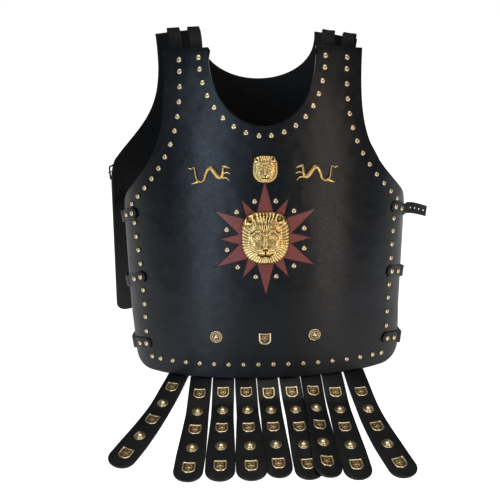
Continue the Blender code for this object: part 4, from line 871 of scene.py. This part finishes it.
FRAME_HALF = 0.5 * 0.0276 - BAR_RADIUS
FRAME_CORNER = 0.0030
CHAPE_THICK = 0.0022
CHAPE_HALF = 0.0090
CHAPE_LOW = GAP + 0.5 * CHAPE_THICK
CHAPE_UPPER = CHAPE_LOW + CHAPE_THICK + GAP
CHAPE_RING = BAR_RADIUS + 0.0008 + 0.5 * CHAPE_THICK
BAR_HEIGHT = CHAPE_LOW + CHAPE_RING
PRONG_RADIUS = 0.0009
PRONG_RING = BAR_RADIUS + 0.0004 + PRONG_RADIUS
FASTENED_WAY = ((0.0400, -0.0022), (0.0300, -0.0030), (0.0200, -0.0034), (0.0150, -0.0020), (0.0105, 0.0016),
                (0.0060, 0.0052), (0.0010, 0.0068), (-0.0050, 0.0067), (-0.0150, 0.0055), (-0.0330, 0.0042))


def panel_edge(cut, t):
    """The side edge's distance from the centre line at a height, along the straight part."""
    share = min(max(t / cut["side_top"][1], 0.0), 1.0)
    return cut["side_bottom"] + (cut["side_top"][0] - cut["side_bottom"]) * share


def buckle_seat(side, t, inset):
    """The bar's place, with axes along the panel, along the bar and outward, as a 3 by 4 array."""
    s = side * (panel_edge(BACK_CUT, t) - inset)
    across, _, outward = back.axes(s, t)
    along = across * side
    return np.stack([along, np.cross(outward, along), outward, back.points(s, t) + outward * BAR_HEIGHT])


def placed(seat, x, y, z):
    """The point at x along the panel, y along the bar and z outward from a buckle's bar."""
    x, y, z = (np.asarray(v)[..., None] for v in (x, y, z))
    return seat[3] + x * seat[0] + y * seat[1] + z * seat[2]


def patch_spot(side, row, along):
    """Place (s, t) on the front's flank, along a side strap from its riveted end."""
    height, patch, fall = row
    turn = math.radians(fall)
    s = panel_edge(FRONT_CUT, height) - patch + along * math.cos(turn)
    return side * s, height - (along - 0.010) * math.sin(turn)


def patch_exit(side, row, beyond):
    """Place where the strap's line has come a distance beyond the panel's edge."""
    return patch_spot(side, row, (row[1] + beyond) / math.cos(math.radians(row[2])))


# %% Wire for frames and prongs
WIRE_SIDES = 12


def wire(name, run, plane, radius, closed, body, node_name):
    """Circles round a flat curve: centre + radius times (cos normal in the plane + sin plane direction)."""
    following = np.roll(run, -1, axis=0) - np.roll(run, 1, axis=0)
    if not closed:
        following = np.gradient(run, axis=0)
    along = unit(following)
    plane = unit(plane)
    normal = np.cross(np.tile(plane, (len(run), 1)), along)
    turn = circle(WIRE_SIDES)
    radii = np.full(len(run), radius)
    if not closed:
        radii[0] = radii[-1] = 0.55 * radius
    ring = np.cos(turn)[None, :, None] * normal[:, None] + np.sin(turn)[None, :, None] * plane
    grid = run[:, None] + radii[:, None, None] * ring
    count = len(run)
    if closed:
        faces = grid_faces(count + 1, WIRE_SIDES, True) % (count * WIRE_SIDES)
    else:
        ends = [list(range(WIRE_SIDES - 1, -1, -1)), list(range((count - 1) * WIRE_SIDES, count * WIRE_SIDES))]
        faces = grid_faces(count, WIRE_SIDES, True).tolist() + ends
    finish(faced_outward(new_piece(name, grid, faces)), black_metal, (node_name,), body)


def frame_run():
    """A rectangle with rounded corners, as x along the panel and y along the bar."""
    spots = []
    for x, y, start in ((FRAME_LONG, -FRAME_HALF, -90), (FRAME_LONG, FRAME_HALF, 0), (0.0, FRAME_HALF, 90),
                        (0.0, -FRAME_HALF, 180)):
        centre = np.array([x - FRAME_CORNER if x > 0 else x + FRAME_CORNER, y - math.copysign(FRAME_CORNER, y)])
        turn = np.radians(start + np.linspace(0.0, 90.0, 8))
        spots.append(centre + FRAME_CORNER * np.stack([np.cos(turn), np.sin(turn)], axis=1))
    return np.concatenate(spots)


def prong_run():
    """An open ring round the bar, then the tongue, which dips a little onto the far bar."""
    turn = np.radians(np.linspace(414.0, 126.0, 25)) - 2 * math.pi
    ring = PRONG_RING * np.stack([np.cos(turn), np.sin(turn)], axis=1)
    start = ring[:-3]
    tongue = np.stack([np.linspace(0.0, FRAME_LONG + BAR_RADIUS + 0.0010, 12), np.full(12, PRONG_RING)], axis=1)
    return np.concatenate([start, tongue])


# %% Build the six side sets
def chape_and_buckle(side, label, level, fastened):
    """The chape folded round its bar, its rivets, the frame and the prong. Gives back the bar's seat."""
    height, inset = BUCKLE_HEIGHTS[level], BUCKLE_INSETS[level]
    seat = buckle_seat(side, height, inset)
    bar = panel_edge(BACK_CUT, height) - inset
    low = [back.points(side * (bar - reach), height, CHAPE_LOW) for reach in np.linspace(0.034, 0.005, 12)]
    turn = np.radians(np.linspace(-90.0, 90.0, 13))
    ring = placed(seat, CHAPE_RING * np.cos(turn), 0.0 * turn, CHAPE_RING * np.sin(turn))
    reaches = np.linspace(0.003, 0.032, 12)
    levels = CHAPE_UPPER + (BAR_HEIGHT + CHAPE_RING - CHAPE_UPPER) * (1.0 - fade(0.0, 0.013, reaches))
    high = [back.points(side * (bar - reach), height, out) for reach, out in zip(reaches, levels)]
    centres = np.vstack([low, ring, high])
    count = len(centres)
    slot = float(arc_length(centres)[len(low) + len(turn) // 2])
    pierced("chape_" + label, centres, np.tile(seat[1], (count, 1)), np.full(count, CHAPE_HALF),
            (-1.0, -0.6, -0.17, 0.17, 0.6, 1.0), slit_at(slot, 0.0155), CHAPE_THICK, plain_leather)
    s = side * (bar - np.array([0.017, 0.027]))
    out = CHAPE_UPPER + 0.5 * CHAPE_THICK
    rivets("chape_%s_rivets" % label, back.points(s, height, out), back.axes(s, np.full(2, height), out))
    along, up = frame_run().T
    wire("buckle_%s_wire" % label, placed(seat, along, up, 0.0 * up), seat[2], BAR_RADIUS, True,
         "vest" if fastened else "frame_" + label, "buckle_" + label)
    along, out = prong_run().T
    wire("prong_%s_wire" % label, placed(seat, along, 0.0 * out, out), seat[1], PRONG_RADIUS, False,
         "vest" if fastened else "tongue_" + label, "prong_" + label)
    return seat


def side_strap(side, label, seat, fastened):
    """A riveted patch on the front's flank, then the run: through the buckle, loose or tucked in."""
    row = SIDE_STRAPS[label]
    fall = math.radians(row[2])
    loose = side > 0 and not fastened
    alongs = np.concatenate([STRAP_HALF * (1 - np.cos(np.linspace(0.06, math.pi / 2, 9))),
                             np.linspace(0.012, row[1] - 0.010, 8)])
    patch = front.points(*patch_spot(side, row, alongs), GAP + 0.5 * STRAP_THICK)
    beyond = 0.002 if fastened else -0.006 if loose else 0.003
    start = front.points(*patch_exit(side, row, beyond), 0.003)
    if fastened:
        between = 0.5 * (start + placed(seat, 0.046, 0.0, 0.0)) - np.array([0.004 * side, 0.0, 0.0])
        way = [between] + [placed(seat, x, 0.0, n) for x, n in FASTENED_WAY]
    else:
        way = [start + np.array(step) for step in (LOOSE_WAY if loose else TUCKED_WAY)]
    run = smooth_path([patch[-1], start] + way, 12)
    if fastened:
        last = unit(run[-1] - run[-4])
        keep = np.linalg.norm(run - run[-1], axis=1) > 0.0100
        reach = STRAP_HALF * (1.0 - np.sin(np.linspace(0.0, math.pi / 2, 9)[1:]))
        run = np.vstack([run[keep], run[-1] - last * reach[:, None]])
    centres = np.vstack([patch[:-1], run])
    length = arc_length(centres)
    full = np.full(len(centres), STRAP_HALF)
    halves = rounded_end(full, length)
    if fastened:
        halves = np.minimum(halves, rounded_end(full, length[-1] - length))
    across, up, _ = front.axes(*patch_spot(side, row, 0.5 * row[1]))
    begin = up * math.cos(fall) + across * side * math.sin(fall)
    end = seat[1] * math.copysign(1.0, seat[1][2]) if fastened else np.array([0.0, 0.0, 1.0])
    first = len(patch) - 1
    stop = first + 32 if fastened else len(centres) - 1
    share = np.clip((np.arange(len(centres)) - first) / (stop - first), 0.0, 1.0)[:, None]
    sides = unit(begin * (1 - share) + end * share)
    name = "side_strap_" + label
    if fastened:
        near = np.linalg.norm(centres - placed(seat, 0.0085, 0.0, PRONG_RING), axis=1)
        slit = slit_at(float(length[int(np.argmin(near))]), 0.0075)
        pierced(name, centres, sides, halves, (-1.0, -0.6, -0.155, 0.155, 0.6, 1.0), slit, STRAP_THICK,
                strap_leather)
    elif loose:
        loose_strap(name, centres, sides, halves, length)
    else:
        strap(name, centres, sides * side, halves, STRAP_THICK, strap_leather)
    s, t = patch_spot(side, row, np.array([0.010, 0.028]))
    out = GAP + STRAP_THICK
    rivets(name + "_rivets", front.points(s, t, out), front.axes(s, t, out))


def loose_strap(name, centres, sides, halves, length):
    """Stations are set round each hole, so that the cells left out there are its opening."""
    spots = length[-1] - LOOSE_HOLES[::-1]
    stations = [length[length < spots[0] - 0.004], [length[-1]]]
    for spot in spots:
        stations.append(spot + np.array([-0.0028, -0.0013, 0.0, 0.0013, 0.0028]))
    stations = np.unique(np.round(np.concatenate(stations), 6))
    centres, sides = (interpolated(stations, length, rows) for rows in (centres, sides))
    halves = np.interp(stations, length, halves)
    pierced(name, centres, sides, halves, (-1.0, -0.6, -0.134, 0.0, 0.134, 0.6, 1.0),
            lambda l, x: (np.abs(l[..., None] - spots).min(-1) < 0.0013) & (np.abs(x) < 0.0013), STRAP_THICK,
            strap_leather)


for side, word in ((-1, "left"), (1, "right")):
    for level in ("top", "mid", "bottom"):
        fastened = side > 0 and level != "top"
        label = level + "_" + word
        side_strap(side, label, chape_and_buckle(side, label, level, fastened), fastened)
print("side sets: 6")

# %% [markdown]
# ## Cast brass
# Each casting is a height field: a formula gives the metal's height at every point of its face, and the
# field is laid on the bent leather. Polar grids suit the masks, because hair runs outward from the face.
# Where a point lies lower than the average round it, tarnish has stayed, so that difference is stored.

# %% Relief tools
def hill(x, y, at_x, at_y, wide, high):
    """exp(-(dx/wide)^2 - (dy/high)^2): a round hill of height 1."""
    return np.exp(-((x - at_x) / wide) ** 2 - ((y - at_y) / high) ** 2)


def groove(x, y, spots, wide):
    """1 along a bent line of points, falling off sideways as a Gaussian."""
    best = np.full(np.shape(x), 9.0)
    spots = np.array(spots, float)
    for a, b in zip(spots, spots[1:]):
        way = b - a
        share = np.clip(((x - a[0]) * way[0] + (y - a[1]) * way[1]) / (way @ way), 0.0, 1.0)
        best = np.minimum(best, np.hypot(x - a[0] - share * way[0], y - a[1] - share * way[1]))
    return np.exp(-(best / wide) ** 2)


def hollows(height, rounds, gain):
    """Where the field lies below its own blurred copy, 0 to 1. Columns wrap round."""
    soft = height.copy()
    for _ in range(rounds):
        soft = 0.5 * soft + 0.25 * (np.roll(soft, 1, axis=1) + np.roll(soft, -1, axis=1))
        inner = np.vstack([soft[:1], soft, soft[-1:]])
        soft = 0.5 * soft + 0.25 * (inner[:-2] + inner[2:])
    return np.clip(0.28 + gain * (soft - height), 0.0, 1.0)


def casting(name, seats, fields, edge_cavity, paint, nodes):
    """Closed castings from polar grids. fields hold x, y, z (rings by spokes); seats map them to the world."""
    points, faces, cavities = [], [], []
    start = 0
    for seat, (x, y, z, cavity) in zip(seats, fields):
        rings, spokes = x.shape
        top = seat(x, y, z).reshape(-1, 3)
        foot = seat(x[-1], y[-1], 0.0 * x[-1])
        peak = seat(np.zeros(1), np.zeros(1), z[:1].mean(axis=1))
        points += [top, foot, peak]
        faces += grid_faces(rings, spokes, True, start).tolist()
        last = start + (rings - 1) * spokes
        foot_start = start + rings * spokes
        summit = foot_start + spokes
        for k in range(spokes):
            nxt = (k + 1) % spokes
            faces.append([last + k, last + nxt, foot_start + nxt, foot_start + k])
            faces.append([start + nxt, start + k, summit])
        faces.append([foot_start + k for k in range(spokes)])
        cavities += [cavity.ravel(), np.full(spokes, edge_cavity), cavity[:1].mean(axis=1)]
        start = summit + 1
    piece = new_piece(name, np.concatenate(points), faces, {"cavity": np.concatenate(cavities)})
    finish(faced_outward(piece), paint, nodes)


def on_front(place, half, base):
    """A seat on the front panel round a place (s, t), with half sizes for x and y."""
    return lambda x, y, z: front.points(place[0] + x * half[0], place[1] + y * half[1], base + z)


# %% [markdown]
# ### The lion masks
# A generic lion's face: round ears, parted forelock, brows, almond eyes, broad nose, whiskered muzzle and a
# combed mane that runs out to the rim. Each feature is a hill or a groove added to a domed face.

# %% Lion relief
# Height, place and sizes of hills, equal on both sides: nose, nostrils, muzzle, lip, chin, eyes and cheeks
LION_HILLS = ((0.13, 0.10, -0.33, 0.09, 0.07), (-0.16, 0.065, -0.385, 0.040, 0.028),
              (0.26, 0.175, -0.50, 0.15, 0.12), (0.16, 0.0, -0.72, 0.17, 0.06), (0.14, 0.0, -0.84, 0.16, 0.10),
              (-0.17, 0.29, 0.075, 0.20, 0.13), (0.20, 0.285, 0.070, 0.125, 0.080),
              (-0.07, 0.275, 0.070, 0.035, 0.035), (0.12, 0.43, -0.22, 0.15, 0.17))
# Height, width and points of lines, equal on both sides: lip, whiskers, mouth, brows, lids and cheek folds
LION_LINES = ((-0.12, 0.022, ((0.0, -0.40), (0.0, -0.62))), (-0.03, 0.012, ((0.12, -0.44), (0.30, -0.43))),
              (-0.03, 0.012, ((0.12, -0.49), (0.30, -0.49))), (-0.03, 0.012, ((0.12, -0.54), (0.30, -0.55))),
              (-0.20, 0.030, ((0.0, -0.62), (0.16, -0.66), (0.31, -0.58))),
              (0.16, 0.055, ((0.10, 0.20), (0.22, 0.30), (0.40, 0.30), (0.52, 0.20))),
              (0.07, 0.020, ((0.11, 0.00), (0.20, 0.15), (0.34, 0.17), (0.47, 0.06))),
              (0.06, 0.018, ((0.12, 0.00), (0.28, -0.05), (0.45, 0.05))),
              (-0.05, 0.018, ((0.33, -0.36), (0.52, -0.24))), (-0.05, 0.018, ((0.33, -0.45), (0.52, -0.35))),
              (-0.05, 0.018, ((0.33, -0.54), (0.52, -0.46))))
# Ends of the forelock's strands
LION_LOCKS = (((-0.03, 0.40), (-0.06, 0.94)), ((0.06, 0.40), (0.08, 0.94)), ((-0.12, 0.42), (-0.20, 0.92)),
              ((0.14, 0.44), (0.22, 0.92)), ((-0.21, 0.46), (-0.33, 0.88)), ((0.23, 0.48), (0.35, 0.88)))


def lion_edge(angle):
    """The mask's outline for half sizes of 1: a superellipse, squarer above than below."""
    power = np.where(np.sin(angle) > 0, 3.6, 2.3)
    return (np.abs(np.cos(angle)) ** power + np.abs(np.sin(angle)) ** power) ** (-1.0 / power)


def lion_relief(x, y, rim):
    """A domed face within a ring of mane strands, |cos(24 angle)|^0.8, then hills and lines added up."""
    side = np.abs(x)
    angle = np.arctan2(x, y + 0.12)
    outer = fade(0.56, 0.74, rim + 0.10 * np.clip(y - 0.3, 0, 1))
    strand = np.abs(np.cos(24.0 * angle + 1.4 * np.sin(4.0 * rim + 1.0))) ** 0.8
    mane = 0.33 + 0.08 * strand + 0.10 * (1.0 - rim) - 0.16 * fade(0.88, 1.0, rim)
    face = 0.44 + 0.24 * np.cos(0.5 * math.pi * np.clip(rim / 0.78, 0, 1))
    bridge = 0.085 + 0.10 * np.clip(0.25 - y, 0, 0.6)
    height = face * (1.0 - outer) + mane * outer
    height += 0.25 * np.exp(-(x / bridge) ** 4) * fade(-0.42, -0.30, y) * fade(0.42, 0.05, y)
    for high, *place in LION_HILLS:
        height += high * hill(side, y, *place)
    for high, wide, spots in LION_LINES:
        height += high * groove(side, y, spots, wide)
    for at_x, at_y in ((-0.66, 0.74), (0.60, 0.77)):
        away = np.hypot(x - at_x, y - at_y)
        height += 0.24 * np.exp(-((away - 0.155) / 0.055) ** 2) + 0.05 * np.exp(-(away / 0.10) ** 2)
        height -= 0.08 * np.exp(-(away / 0.15) ** 4)
        for k in (-1, 0, 1):
            ends = (at_x + 0.06 * k, at_y - 0.10), (at_x + 0.08 * k, at_y + 0.09)
            height -= 0.05 * groove(x, y, ends, 0.016)
    for k, (low, high) in enumerate(LION_LOCKS):
        bow = ((low[0] + high[0]) / 2 + 0.03 * (-1) ** k, (low[1] + high[1]) / 2)
        height += 0.11 * groove(x, y, (low, bow, high), 0.036)
    height -= 0.06 * groove(x, y, ((0.01, 0.42), (0.01, 0.94)), 0.016)
    return np.clip(height, 0.10, 1.1)


def lion(name, place, half, high, rings, spokes, node_name, rounds):
    """One mask: the relief on a polar grid, half sizes half, greatest height about high."""
    angle = circle(spokes)
    edge = lion_edge(angle)
    level = np.linspace(0.0, 1.0, rings + 1)[1:]
    x = level[:, None] * (edge * np.cos(angle))
    y = level[:, None] * (edge * np.sin(angle))
    rim = np.repeat(level[:, None], spokes, axis=1)
    height = lion_relief(x, y, rim)
    cavity = hollows(height, rounds, 10.0)
    height = height * (1.0 - 0.55 * fade(0.965, 1.0, rim))
    seat = on_front(place, half, GAP)
    casting(name, [seat], [(x, y, height * high, cavity)], 0.9, gold, (node_name,))


lion("lion_mask_cast", (0.0026, 0.2402), (0.0380, 0.0428), 0.0130, 100, 216, "lion_mask", 8)
lion("small_lion_cast", (0.0035, 0.3500), (0.0196, 0.0212), 0.0062, 60, 144, "small_lion", 6)
print("lions cast")

# %% [markdown]
# ### Shields, domes and conchos
# The small shields have a raised rim round a tiny mask. Domes and conchos are turned, so one profile of
# radius and height is enough. A concho's rope edge is a ripple of its outer radius with the angle.

# %% Shield relief
def shield_edge(angle):
    """Distance to a shield's outline for half sizes of 1: hollow top with pointed corners, round below."""
    x, y = np.cos(angle), np.sin(angle)
    low = (np.abs(x) ** 2.3 + np.abs(y) ** 2.3) ** (-1 / 2.3)
    flat_side = 0.96 / np.maximum(np.abs(x), 1e-6)
    share = np.clip(np.abs(x) / np.maximum(y, 1e-6), 0.0, 1.4)
    top = (0.86 + 0.14 * np.minimum(share, 1.0) ** 3) / np.maximum(y, 1e-6)
    return np.where(y > 0, np.minimum(flat_side, top), np.minimum(flat_side, low))


def shield_field():
    """A shield's x, y, height and cavity: a raised rim round a few hills and hollows."""
    spokes = 40
    angle = circle(spokes)
    edge = shield_edge(angle)
    level = np.array([0.0, 0.12, 0.22, 0.32, 0.42, 0.52, 0.62, 0.70, 0.76, 0.86, 0.95, 1.0])[1:]
    x = level[:, None] * edge * np.cos(angle)
    y = level[:, None] * edge * np.sin(angle)
    rim = np.repeat(level[:, None], spokes, axis=1)
    side = np.abs(x)
    height = 0.30 + 0.55 * fade(0.70, 0.78, rim) - 0.30 * fade(0.94, 1.02, rim)
    inside = 1.0 - fade(0.66, 0.74, rim)
    face = 0.55 * hill(x, y, 0.0, 0.05, 0.26, 0.34) + 0.35 * hill(side, y, 0.34, 0.40, 0.12, 0.12)
    face = face + 0.30 * hill(side, y, 0.40, -0.05, 0.10, 0.24) + 0.30 * hill(x, y, 0.0, -0.45, 0.16, 0.12)
    face = face - 0.40 * hill(side, y, 0.15, 0.20, 0.07, 0.08) - 0.25 * hill(x, y, 0.0, -0.20, 0.16, 0.05)
    height = height + face * inside
    cavity = np.clip(1.15 - 1.20 * height, 0.0, 1.0) * (1.0 - 0.9 * fade(0.70, 0.76, rim)) + 0.12 * inside
    return x, y, height, cavity


def seat_at(spot, half, high):
    """A seat from a frame (origin, across, up, out), with sizes for x, y and the height."""
    origin, across, up, out = spot
    return lambda x, y, z: (origin + (x * half[0])[..., None] * across + (y * half[1])[..., None] * up
                            + (z * high - 0.0003)[..., None] * out)


shield = shield_field()
SHIELD_HALF = (0.0105, 0.0106)
SHIELD_HIGH = 0.0022
casting("skirt_shields", [seat_at(spot, SHIELD_HALF, SHIELD_HIGH) for spot in shield_seats],
        [shield] * len(shield_seats), 0.8, pale_gold, ())
x, y, height, cavity = shield
casting("small_shield_cast", [on_front((0.0002, 0.0707), SHIELD_HALF, GAP)],
        [(x, y, height * SHIELD_HIGH, cavity)], 0.8, pale_gold, ("small_shield",))

# %% Domes and conchos
DOME = np.array([(0.0098, -0.0004), (0.0098, 0.0008), (0.0092, 0.0013), (0.0084, 0.0011), (0.0078, 0.0016),
                 (0.0068, 0.0029), (0.0054, 0.0041), (0.0038, 0.0049), (0.0022, 0.0053), (0.0016, 0.0055),
                 (0.0013, 0.0063), (0.0005, 0.0066)])
DOME_CAVITY = np.array([0.9, 0.4, 0.1, 0.85, 0.45, 0.15, 0.05, 0.05, 0.15, 0.7, 0.1, 0.0])
centres, across, up, out = (np.array([spot[c] for spot in dome_seats]) for c in range(4))
turned("skirt_domes", centres, (across, up, out), DOME * (0.92, 1.0), DOME_CAVITY, 24, pale_gold)

CONCHO = np.array([(0.0100, 0.0), (0.0104, 0.0008), (0.0099, 0.0016), (0.0090, 0.0019), (0.0084, 0.0012),
                   (0.0074, 0.0012), (0.0068, 0.0020), (0.0060, 0.0023), (0.0052, 0.0014), (0.0044, 0.0014),
                   (0.0038, 0.0027), (0.0030, 0.0037), (0.0018, 0.0043), (0.0006, 0.0045)])
CONCHO_CAVITY = np.array([0.8, 0.3, 0.05, 0.1, 0.9, 0.85, 0.2, 0.1, 0.9, 0.8, 0.2, 0.05, 0.0, 0.0])
for (s, t), word in zip(((-0.0804, 0.0742), (0.0820, 0.0738)), ("left", "right")):
    spokes = 96
    turn = circle(spokes)
    centre = front.points(s, t, GAP)
    across, up, out = front.axes(s, t)
    rope = 1.0 + 0.035 * np.cos(24 * turn)[None] * (CONCHO[:, :1] > 0.0088)
    petal = 1.0 + 0.10 * np.cos(12 * turn)[None] * ((CONCHO[:, :1] > 0.0055) & (CONCHO[:, :1] < 0.0080))
    radius = CONCHO[:, :1] * rope
    height = CONCHO[:, 1:] * petal
    grid = (centre + (radius * np.cos(turn))[..., None] * across + (radius * np.sin(turn))[..., None] * up
            + height[..., None] * out)
    piece = joined_grids("concho_%s_cast" % word, grid[None], {"cavity": np.repeat(CONCHO_CAVITY, spokes)})
    finish(piece, pale_gold, ("concho_" + word,))
print("ornaments cast")

# %% [markdown]
# ### Sea serpents
# A general sea beast in profile: a coiled tail with a fin, a scaled body in two arcs and an open mouth. Every
# limb is a bar along a smooth line, with a half round section and ribs across it for scales. The limbs grow
# into one another like the parts of a casting.

# %% Serpents
# Place along, place up and half width of each station, in units of SERPENT_SCALE
SERPENT_BODY = ((-33.0, 9.5, 0.7), (-30.0, 12.5, 1.2), (-26.5, 12.0, 1.5), (-25.5, 6.0, 1.7),
                (-24.0, -4.0, 1.9), (-20.0, -10.5, 2.2), (-14.5, -11.0, 2.6), (-9.5, -6.0, 3.0),
                (-7.0, 3.0, 3.5), (-3.0, 10.5, 3.9), (3.0, 12.0, 4.2), (8.5, 6.0, 4.4), (14.0, -1.5, 4.4),
                (19.5, -3.0, 4.2), (22.5, 4.0, 3.4), (23.5, 12.0, 2.8), (24.5, 17.0, 2.2))
SERPENT_LIMBS = (((22.5, 15.5, 2.9), (29.0, 14.5, 2.2), (36.0, 12.0, 0.8)),
                 ((21.0, 1.0, 2.0), (29.0, 4.5, 1.5), (36.5, 2.5, 0.9)),
                 ((20.0, -5.0, 2.0), (29.0, -4.5, 1.5), (35.0, -9.5, 0.9)),
                 ((-18.5, -10.5, 2.4), (-25.0, -12.0, 3.4), (-33.5, -15.5, 0.9)),
                 ((-31.5, 9.8, 1.0), (-35.5, 11.5, 1.0), (-39.0, 12.2, 0.5)))
SERPENT_SCALE = 0.0009


def limb_grid(stations, high, ribs):
    """Half ellipse sections along a smooth line: height = high times sin, ribs as a ripple of the height."""
    path = smooth_path(np.array(stations) * SERPENT_SCALE, 8)
    along = unit(np.gradient(path[:, :2], axis=0))
    left = np.stack([-along[:, 1], along[:, 0]], axis=1)
    turn = np.linspace(0.0, math.pi, 13)
    ripple = np.abs(np.sin(arc_length(path[:, :2]) / 0.0011 * 1.6))
    rib = 1.0 - ribs * ripple[:, None] * np.sin(turn)[None]
    spine = 1.0 + 0.16 * np.exp(-((turn - math.pi / 2) / 0.28) ** 2)[None]
    size = np.minimum(path[:, 2:] / 0.0030, 1.0) ** 0.5
    height = high * size * np.sin(turn)[None] ** 0.8 * rib * spine
    spots = path[:, None, :2] + left[:, None] * (path[:, 2:] * np.cos(turn))[..., None]
    cavity = np.clip(0.95 - 0.95 * np.sin(turn)[None] + 2.2 * (1.0 - rib), 0.0, 1.0)
    return spots, height, cavity


def serpent(word, s, t, way):
    """A serpent round the place (s, t) on the front. way is -1 for the one that looks left."""
    points, faces, cavities = [], [], []
    start = 0
    for k, stations in enumerate((SERPENT_BODY,) + SERPENT_LIMBS):
        high, ribs = (0.0038, 0.16) if k == 0 else (0.0026 + 0.0001 * k, 0.10)
        spots, height, cavity = limb_grid(stations, high, ribs)
        rows, columns = height.shape
        points.append(front.points(s + way * spots[..., 0], t + spots[..., 1], GAP + height).reshape(-1, 3))
        faces += grid_faces(rows, columns, True, start).tolist()
        for row in (start, start + (rows - 1) * columns):
            faces.append(list(range(row, row + columns)))
        cavities.append(cavity.ravel())
        start += rows * columns
    values = {"cavity": np.concatenate(cavities)}
    piece = new_piece("serpent_%s_cast" % word, np.concatenate(points), faces, values)
    finish(faced_outward(piece), gold, ("serpent_" + word,))


serpent("left", -0.0832, 0.3418, 1)
serpent("right", 0.0828, 0.3408, -1)
print("serpents cast")

# %% [markdown]
# ## Floor and light
# The vest stands on a white floor that glows a little. Two tall softboxes in front, a cold one on the left
# and a warm one on the right, draw long soft bands down the rounded leather. A wide one hangs above, and a
# dim sky fills the shadows.

# %% Stage
corners = [(-6.0, -1.0, 0.0), (6.0, -1.0, 0.0), (6.0, 9.0, 0.0), (-6.0, 9.0, 0.0)]
floor = new_piece("floor", corners, [[0, 1, 2, 3]])
paper, tree, shader = material("paper")
shader.inputs["Base Color"].default_value = (0.86, 0.86, 0.86, 1.0)
shader.inputs["Roughness"].default_value = 0.8
shader.inputs["Emission Color"].default_value = (1.0, 1.0, 1.0, 1.0)
shader.inputs["Emission Strength"].default_value = 0.86
floor.data.materials.append(paper)


def softbox(name, place, aim, size, power, colour):
    """A rectangular area light at a place, turned towards its aim."""
    light = bpy.data.lights.new(name, "AREA")
    light.shape = "RECTANGLE"
    light.size, light.size_y = size
    light.energy = power
    light.color = colour
    thing = bpy.data.objects.new(name, light)
    way = Vector(aim) - Vector(place)
    thing.matrix_world = Matrix.Translation(place) @ way.to_track_quat("-Z", "Y").to_matrix().to_4x4()
    bpy.context.collection.objects.link(thing)


softbox("left_box", (-0.62, -1.45, 0.55), (0.0, 0.05, 0.28), (0.34, 1.3), 13.0, (0.62, 0.78, 1.0))
softbox("right_box", (0.90, -1.30, 0.55), (0.0, 0.05, 0.28), (0.12, 1.3), 8.0, (1.0, 0.84, 0.70))
softbox("top_box", (0.0, 0.1, 1.9), (0.0, 0.05, 0.2), (1.6, 1.4), 20.0, (1.0, 1.0, 1.0))
world = bpy.data.worlds.new("sky")
bpy.context.scene.world = world
world.use_nodes = True
world.node_tree.nodes["Background"].inputs["Color"].default_value = (1.0, 1.0, 1.0, 1.0)
world.node_tree.nodes["Background"].inputs["Strength"].default_value = 0.14
bpy.context.scene.view_settings.view_transform = "Standard"
